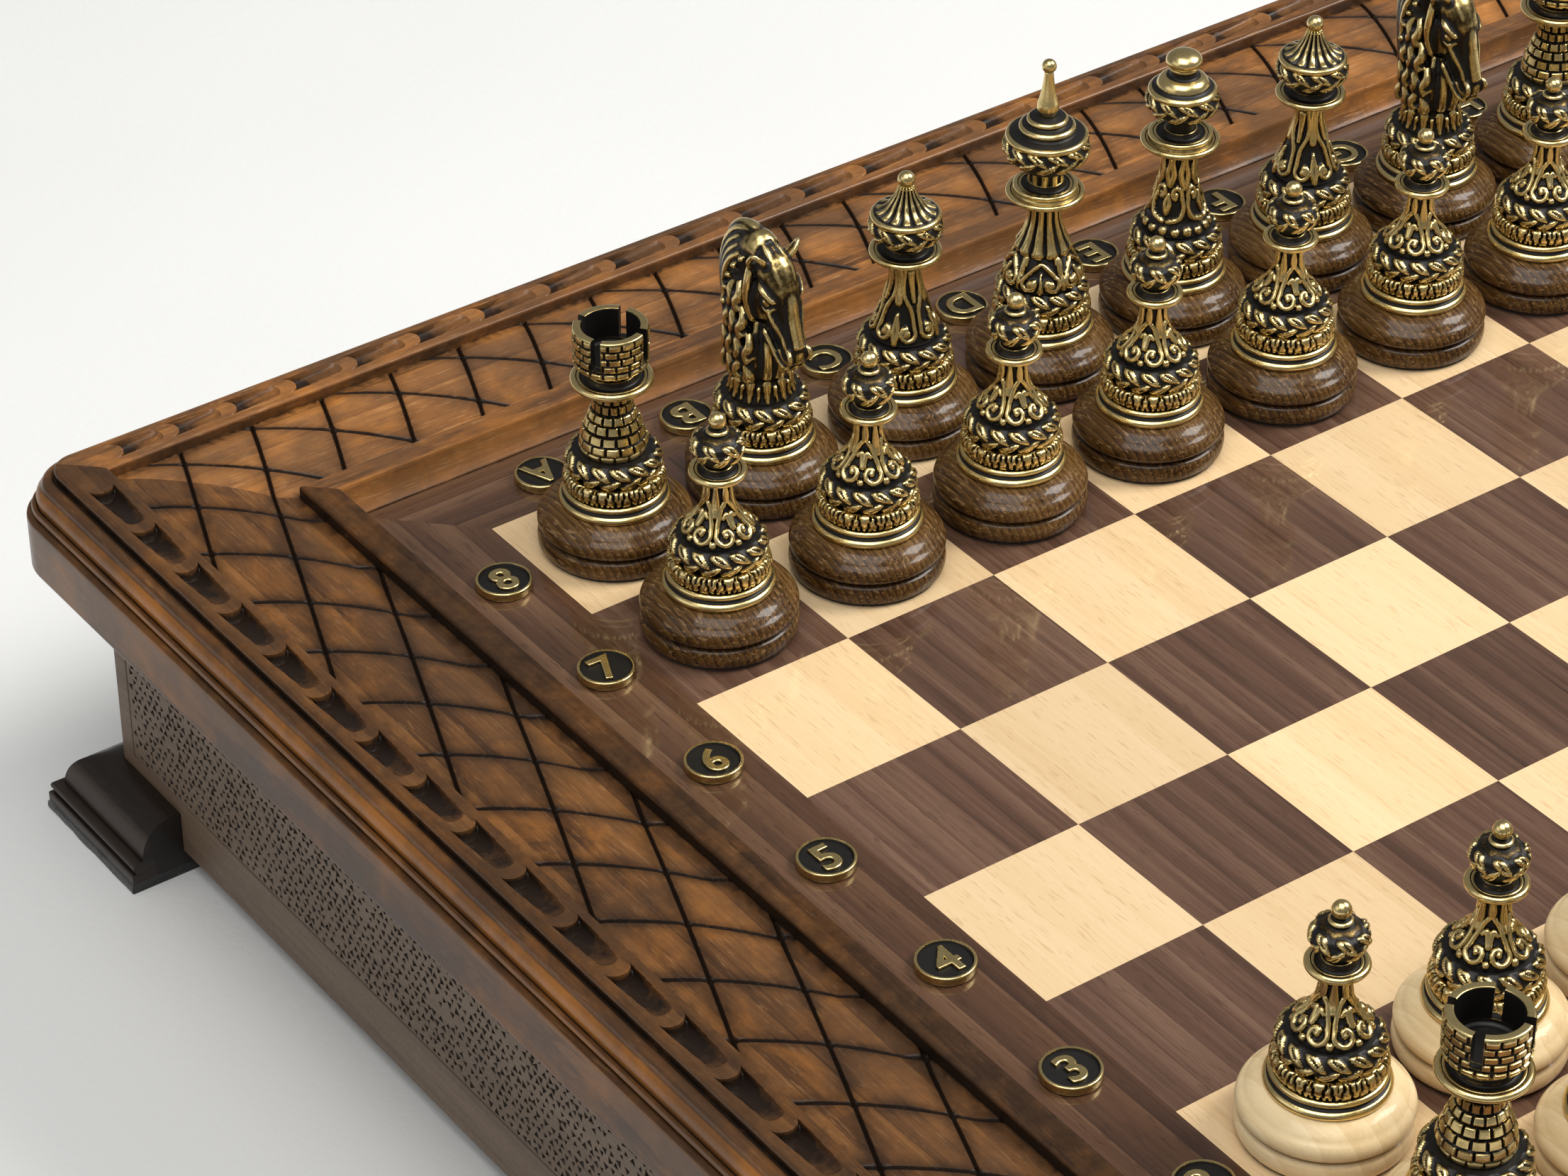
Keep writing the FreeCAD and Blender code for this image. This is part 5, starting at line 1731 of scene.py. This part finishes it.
def base_felt():
    shell = Shell()
    outline = [(0.5, 0.0, 0, 0.0), (18.3, 0.0, 0, 0.0), (18.5, 0.9, 0.25, 0.0), (0.5, 0.95, 0, 0.0)]

    def fuzz(theta, along, radius):
        return 0.08 * np.sin(theta * 37 + 3 * np.sin(theta * 11)) * (along > 15)

    lathe(shell, path(outline, 0.6), 104, fuzz, gain=0.0)
    return shell


def node_names():
    """The nodes of the chess pieces, in order."""
    bodies = frame["record"]["behaviour"]["bodies"]
    return sorted(name for body, names in bodies.items() if body != "board" for name in names)


# How far the slots of a rook's turret are turned away from the board's sides.
SLOT_TURN = math.radians(32.3)


def square_middle(place):
    """The middle of the square that holds a place, along one axis."""
    return (round((place + HALF_FIELD) / SQUARE - 0.5) + 0.5) * SQUARE - HALF_FIELD


def stand(shape, turn, place, name, material, body, slot_name, nodes=(), sharp=50):
    """One part of a chess piece: a shared shape, turned and set in its place."""
    part = Shell()
    part.add_shell(shape, turn, place)
    make_piece(name, part, material, body, nodes, sharp=sharp)


def stand_pieces(brass, walnut, maple, felt):
    """Every piece on the middle of its square. The figures are shared shapes, turned to face."""
    shapes = {
        "pawn": pawn(), "rook": rook(), "knight": knight(), "bishop": bishop(),
        "spire_piece": spire_piece(), "ball_piece": ball_piece(),
    }
    base, pad = wooden_base(), base_felt()
    for node in node_names():
        army, rest = node.split("_", 1)
        kind, file_letter = rest.rsplit("_", 1)
        low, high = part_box(node)
        x, y = (square_middle((low[axis] + high[axis]) / 2 / MM) for axis in (0, 1))
        turn = 0.0 if army == "dark" else math.pi
        if kind == "rook":
            turn += SLOT_TURN
        elif kind != "knight":
            turn += 0.7 * (ord(file_letter) - ord("a"))
        place = (x, y, PLAY_Z)
        timber, slot_name = (walnut, "walnut_veneer") if army == "dark" else (maple, "maple_veneer")
        stand(shapes[kind], turn, place, "brass_" + node, brass, node, "antique_brass", [node], 60)
        stand(base, turn, place, "base_" + node, timber, node, slot_name)
        stand(pad, turn, place, "felt_" + node, felt, node, "black_felt")


# ---------------------------------------------------------------- put it together
def give(material, *nodes):
    """Gives CAD nodes a material."""
    for name in nodes:
        node = frame["nodes"][name]
        node.data.materials.clear()
        node.data.materials.append(material)


def build():
    brass = antique_brass()
    felt = black_felt()
    give(plain_wood(), "playing_panel", "bottom_panel", "corner_blocks")
    give(screw_steel(), "bottom_screws", "foot_screws")
    give(veneer_border(), "veneer_border")
    give(
        veneer_squares(
            "maple_squares", (0.62, 0.42, 0.215), (0.71, 0.51, 0.285), (0.77, 0.575, 0.345),
            (0.40, 0.22, 0.095), 0.30, 0.30, 26.0, 0.12,
        ),
        "light_squares",
    )
    give(
        veneer_squares(
            "walnut_squares", (0.042, 0.020, 0.012), (0.098, 0.050, 0.031), (0.180, 0.102, 0.064),
            (0.055, 0.027, 0.016), 0.5, 0.28, 96.0, 0.15,
        ),
        "dark_squares",
    )
    # The rank sides get a larger painted sheen than the a and h sides, so their carved wood is painted
    # paler.
    carved = {
        "a_side": carved_wood("carved_along_y", "Y", 1.15),
        "rank_8_side": carved_wood("carved_along_x", "X", 2.1),
    }
    carved["h_side"], carved["rank_1_side"] = carved["a_side"], carved["rank_8_side"]
    apron, feet = apron_wood(), foot_wood()
    for number, side in enumerate(SIDES):
        frame_rail(side, carved[side])
        ledge_strip(side, carved[side])
        apron_panel(side, apron, SEED + number)
    for corner in CORNERS:
        corner_foot(corner, feet)
    foot_felts(felt)
    medallions("file_letter_medallions", "ABCDEFGH", True, brass)
    medallions("rank_number_medallions", "12345678", False, brass)
    walnut = turned_wood(
        "turned_walnut", (0.026, 0.011, 0.003), (0.082, 0.038, 0.009), (0.165, 0.088, 0.027),
        (0.30, 0.18, 0.08), 0.55, 210.0,
    )
    maple = turned_wood(
        "turned_maple", (0.71, 0.52, 0.275), (0.78, 0.595, 0.335), (0.83, 0.655, 0.39),
        (0.52, 0.38, 0.22), 0.12, 60.0,
    )
    stand_pieces(brass, walnut, maple, felt)


def area_light(name, place, size, power, colour=(1, 1, 1)):
    """A rectangular lamp that faces the board."""
    data = bpy.data.lights.new(name, "AREA")
    data.shape = "RECTANGLE"
    data.size, data.size_y = size
    data.energy = power
    data.color = colour
    lamp = placed(name, data)
    lamp.location = place
    lamp.rotation_mode = "QUATERNION"
    lamp.rotation_quaternion = (Vector((0, 0, 0.1)) - Vector(place)).to_track_quat("-Z", "Y")


def studio():
    """A pale floor, an even sky that is brighter to the camera than as a light, and three lamps."""
    half = 12.0
    corners = [(-half, -half, 0), (half, -half, 0), (half, half, 0), (-half, half, 0)]
    mesh = bpy.data.meshes.new("floor")
    mesh.from_pydata(corners, [], [(0, 1, 2, 3)])
    mesh.materials.append(floor_paper())
    placed("floor", mesh)
    world = bpy.data.worlds.new("studio")
    bpy.context.scene.world = world
    world.use_nodes = True
    tree = world.node_tree
    background = tree.nodes["Background"]
    background.inputs["Color"].default_value = (0.97, 0.98, 1.0, 1)
    seen = tree.nodes.new("ShaderNodeLightPath").outputs["Is Camera Ray"]
    strength = tree.nodes.new("ShaderNodeMapRange")
    strength.inputs["To Min"].default_value = 0.22
    strength.inputs["To Max"].default_value = 0.85
    tree.links.new(seen, strength.inputs["Value"])
    tree.links.new(strength.outputs["Result"], background.inputs["Strength"])
    area_light("key", (1.25, -0.55, 1.65), (0.9, 0.9), 42.0, (1.0, 0.985, 0.96))
    area_light("top", (-0.7, -0.5, 2.5), (2.0, 2.0), 48.0)
    area_light("left", (-1.9, 0.4, 1.1), (1.6, 1.2), 5.0)
    bpy.context.scene.view_settings.view_transform = "Standard"


def camera():
    data = bpy.data.cameras.new("camera")
    data.sensor_width = 36.0
    data.lens = 113.03
    data.clip_start = 0.05
    view = placed("camera", data)
    view.location = (-0.71279, -0.68594, 0.81770)
    direction = Vector((0.473865, 0.658277, -0.584913))
    roll = Quaternion((0, 0, 1), math.radians(-0.13))
    view.rotation_mode = "QUATERNION"
    view.rotation_quaternion = direction.to_track_quat("-Z", "Y") @ roll
    bpy.context.scene.camera = view


build()
studio()
camera()
